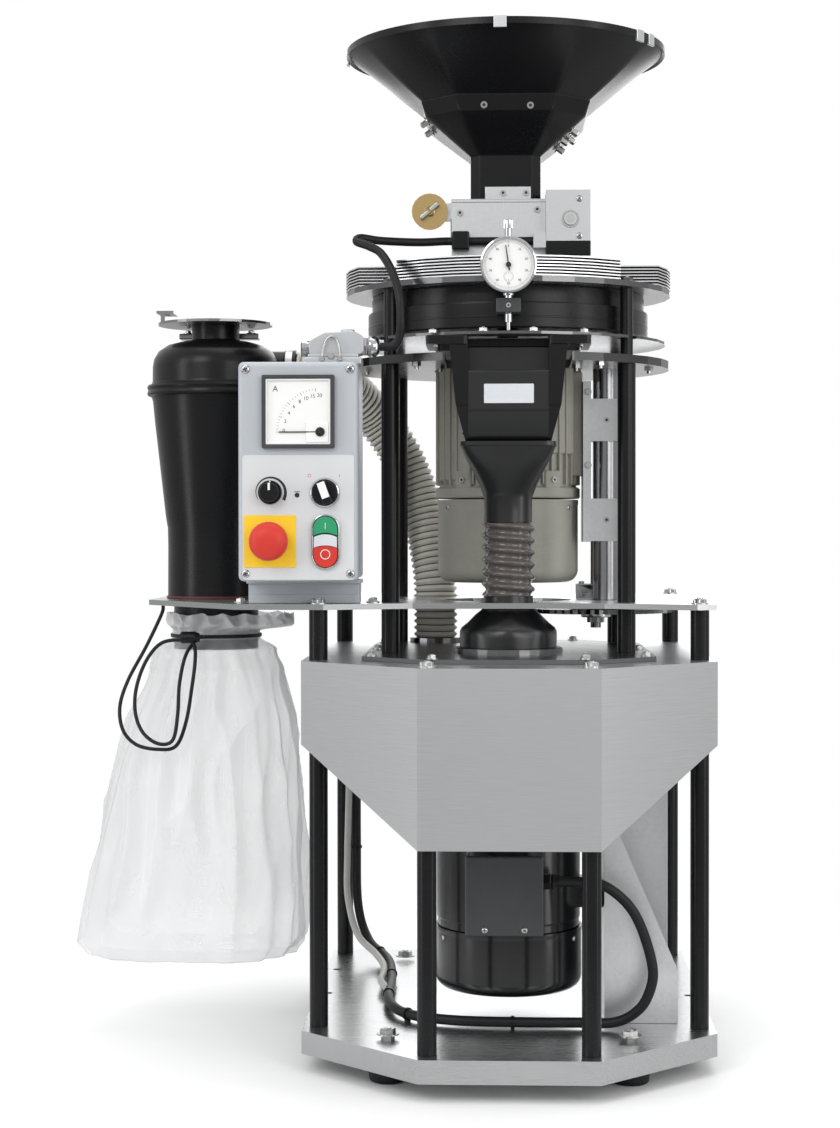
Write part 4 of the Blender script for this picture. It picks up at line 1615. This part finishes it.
def build_stage(sizes, colours):
    """Pale floor, soft studio light and the photograph's camera."""
    scene = bpy.context.scene
    lens = bpy.data.cameras.new("photo_camera")
    lens.lens = FOCAL_PIXELS / PHOTO_HEIGHT * SENSOR
    lens.sensor_width = SENSOR
    lens.sensor_fit = "AUTO"
    lens.clip_start = 0.05
    camera = bpy.data.objects.new("photo_camera", lens)
    camera.location = CAMERA_PLACE
    camera.rotation_euler = CAMERA_TURN
    scene.collection.objects.link(camera)
    scene.camera = camera
    scene.view_settings.view_transform = "Standard"

    for name, place, size, power, target in (
        ("key_light", (-1.3, -2.6, 2.2), 1.3, 26, (0.0, 0.0, 0.6)),
        ("fill_light", (1.7, -2.3, 1.2), 1.3, 17, (0.1, 0.0, 0.5)),
        ("top_light", (0.2, 0.2, 2.9), 2.0, 20, (0.1, 0.0, 0.5)),
        ("back_light", (0.3, 2.4, 1.6), 1.8, 16, (0.1, 0.0, 0.5)),
        ("left_strip", (-1.9, -1.1, 0.8), 0.4, 13, (0.0, 0.0, 0.6)),
        ("right_strip", (2.0, -0.9, 0.8), 0.4, 9, (0.1, 0.0, 0.6)),
    ):
        lamp = bpy.data.lights.new(name, "AREA")
        lamp.shape = "RECTANGLE" if name.endswith("strip") else "SQUARE"
        lamp.size = size
        lamp.size_y = 2.2
        lamp.energy = power
        light = bpy.data.objects.new(name, lamp)
        light.location = place
        light.rotation_euler = (Vector(target) - Vector(place)).to_track_quat("-Z", "Y").to_euler()
        scene.collection.objects.link(light)

    world = bpy.data.worlds.new("studio")
    world.use_nodes = True
    nodes = world.node_tree.nodes
    links = world.node_tree.links
    back = nodes["Background"]
    path = nodes.new("ShaderNodeLightPath")
    place = nodes.new("ShaderNodeTexCoord")
    split = nodes.new("ShaderNodeSeparateXYZ")
    links.new(place.outputs["Generated"], split.inputs[0])
    band = nodes.new("ShaderNodeValToRGB")
    ramp = band.color_ramp
    ramp.elements[0].position = 0.0
    ramp.elements[0].color = (0.55, 0.55, 0.55, 1)
    ramp.elements[1].position = 1.0
    ramp.elements[1].color = (0.95, 0.95, 0.95, 1)
    for position, level_of_grey in ((0.42, 0.52), (0.52, 0.66), (0.64, 0.86)):
        stop = ramp.elements.new(position)
        stop.color = (level_of_grey, level_of_grey, level_of_grey, 1)
    height = nodes.new("ShaderNodeMapRange")
    height.inputs["From Min"].default_value = -1.0
    links.new(split.outputs["Z"], height.inputs["Value"])
    links.new(height.outputs[0], band.inputs["Fac"])
    white = nodes.new("ShaderNodeMix")
    white.data_type = "RGBA"
    white.inputs["B"].default_value = (1, 1, 1, 1)
    links.new(path.outputs["Is Camera Ray"], white.inputs["Factor"])
    links.new(band.outputs["Color"], white.inputs["A"])
    links.new(white.outputs["Result"], back.inputs["Color"])
    back.inputs["Strength"].default_value = 1.0
    scene.world = world

    mesh = bpy.data.meshes.new("studio_floor")
    mesh.from_pydata([(-1.2, -1.2, 0), (1.2, -1.2, 0), (1.2, 1.2, 0), (-1.2, 1.2, 0)], [], [(0, 1, 2, 3)])
    ground = finish("studio_floor", (0.9, 0.9, 0.9), 0.99, rough=0.75, spread=0.05, scale=40, patches=2, relief=0.0)
    mesh.materials.append(ground)
    nodes = ground.node_tree.nodes
    links = ground.node_tree.links
    spot = nodes.new("ShaderNodeTexCoord")
    reach = nodes.new("ShaderNodeVectorMath")
    reach.operation = "LENGTH"
    links.new(spot.outputs["Object"], reach.inputs[0])
    fade = nodes.new("ShaderNodeMapRange")
    fade.interpolation_type = "SMOOTHSTEP"
    fade.inputs["From Min"].default_value = 0.45
    fade.inputs["From Max"].default_value = 1.1
    fade.inputs["To Min"].default_value = 1.0
    fade.inputs["To Max"].default_value = 0.0
    links.new(reach.outputs["Value"], fade.inputs["Value"])
    links.new(fade.outputs[0], nodes["Principled BSDF"].inputs["Alpha"])
    floor = bpy.data.objects.new("studio_floor", mesh)
    scene.collection.objects.link(floor)


# ---- Add-on

class MillOperator:
    """What all steps share: each runs its builder with the sizes and colours of the scene."""

    bl_options = {"REGISTER", "UNDO"}
    builder = None

    def execute(self, context):
        type(self).builder(context.scene.mill_sizes, context.scene.mill_colours)
        return {"FINISHED"}


class MILL_OT_materials(MillOperator, bpy.types.Operator):
    """Prepare every finish of the mill."""

    bl_idname = "mill.materials"
    bl_label = "Materials"
    builder = staticmethod(build_materials)


class MILL_OT_base(MillOperator, bpy.types.Operator):
    """Build the tray, the feet and the columns."""

    bl_idname = "mill.base"
    bl_label = "Base and columns"
    builder = staticmethod(build_base)


class MILL_OT_blower(MillOperator, bpy.types.Operator):
    """Build the blower with its hood, motor and bracket."""

    bl_idname = "mill.blower"
    bl_label = "Blower"
    builder = staticmethod(build_blower)


class MILL_OT_table(MillOperator, bpy.types.Operator):
    """Build the table plate and the hand wheel."""

    bl_idname = "mill.table"
    bl_label = "Table"
    builder = staticmethod(build_table)


class MILL_OT_head(MillOperator, bpy.types.Operator):
    """Build the discs, the drum and the fins."""

    bl_idname = "mill.head"
    bl_label = "Grinding head"
    builder = staticmethod(build_head)


class MILL_OT_motor(MillOperator, bpy.types.Operator):
    """Build the mill motor and its height adjuster."""

    bl_idname = "mill.motor"
    bl_label = "Mill motor"
    builder = staticmethod(build_mill_motor)


class MILL_OT_gauge(MillOperator, bpy.types.Operator):
    """Build the dial gauge with its face."""

    bl_idname = "mill.gauge"
    bl_label = "Dial gauge"
    builder = staticmethod(build_gauge)


class MILL_OT_outlet(MillOperator, bpy.types.Operator):
    """Build the chute, the funnel, the hose and the boot."""

    bl_idname = "mill.outlet"
    bl_label = "Outlet"
    builder = staticmethod(build_outlet)


class MILL_OT_feed(MillOperator, bpy.types.Operator):
    """Build the hopper and the dosing unit."""

    bl_idname = "mill.feed"
    bl_label = "Feed"
    builder = staticmethod(build_feed)


class MILL_OT_cyclone(MillOperator, bpy.types.Operator):
    """Build the cyclone, the suction hose and the bag."""

    bl_idname = "mill.cyclone"
    bl_label = "Cyclone and bag"
    builder = staticmethod(build_cyclone)


class MILL_OT_controls(MillOperator, bpy.types.Operator):
    """Build the control box and all of its controls."""

    bl_idname = "mill.controls"
    bl_label = "Control box"
    builder = staticmethod(build_controls)


class MILL_OT_cords(MillOperator, bpy.types.Operator):
    """Build the sensor cable and the bag's cord."""

    bl_idname = "mill.cords"
    bl_label = "Free cords"
    builder = staticmethod(build_cords)


class MILL_OT_stage(MillOperator, bpy.types.Operator):
    """Set the floor, the light and the camera."""

    bl_idname = "mill.stage"
    bl_label = "Camera and light"
    builder = staticmethod(build_stage)


STEPS = (
    MILL_OT_materials,
    MILL_OT_base,
    MILL_OT_blower,
    MILL_OT_table,
    MILL_OT_head,
    MILL_OT_motor,
    MILL_OT_gauge,
    MILL_OT_outlet,
    MILL_OT_feed,
    MILL_OT_cyclone,
    MILL_OT_controls,
    MILL_OT_cords,
    MILL_OT_stage,
)


class MILL_PT_steps(bpy.types.Panel):
    """Lists the steps in their order, with the sizes and the colours."""

    bl_label = "Grain Mill"
    bl_idname = "MILL_PT_steps"
    bl_space_type = "VIEW_3D"
    bl_region_type = "UI"
    bl_category = "Mill"

    def draw(self, context):
        column = self.layout.column(align=True)
        for step in STEPS:
            column.operator(step.bl_idname)
        for settings in (context.scene.mill_sizes, context.scene.mill_colours):
            column = self.layout.column(align=True)
            for name in type(settings).__annotations__:
                column.prop(settings, name)


CLASSES = (MillColours, MillSizes, *STEPS, MILL_PT_steps)


def register():
    for item in CLASSES:
        bpy.utils.register_class(item)
    bpy.types.Scene.mill_colours = bpy.props.PointerProperty(type=MillColours)
    bpy.types.Scene.mill_sizes = bpy.props.PointerProperty(type=MillSizes)


def unregister():
    del bpy.types.Scene.mill_sizes
    del bpy.types.Scene.mill_colours
    for item in reversed(CLASSES):
        bpy.utils.unregister_class(item)


def main():
    """Run every step in order."""
    register()
    for step in STEPS:
        group, name = step.bl_idname.split(".")
        getattr(getattr(bpy.ops, group), name)()


if __name__ == "__main__":
    main()
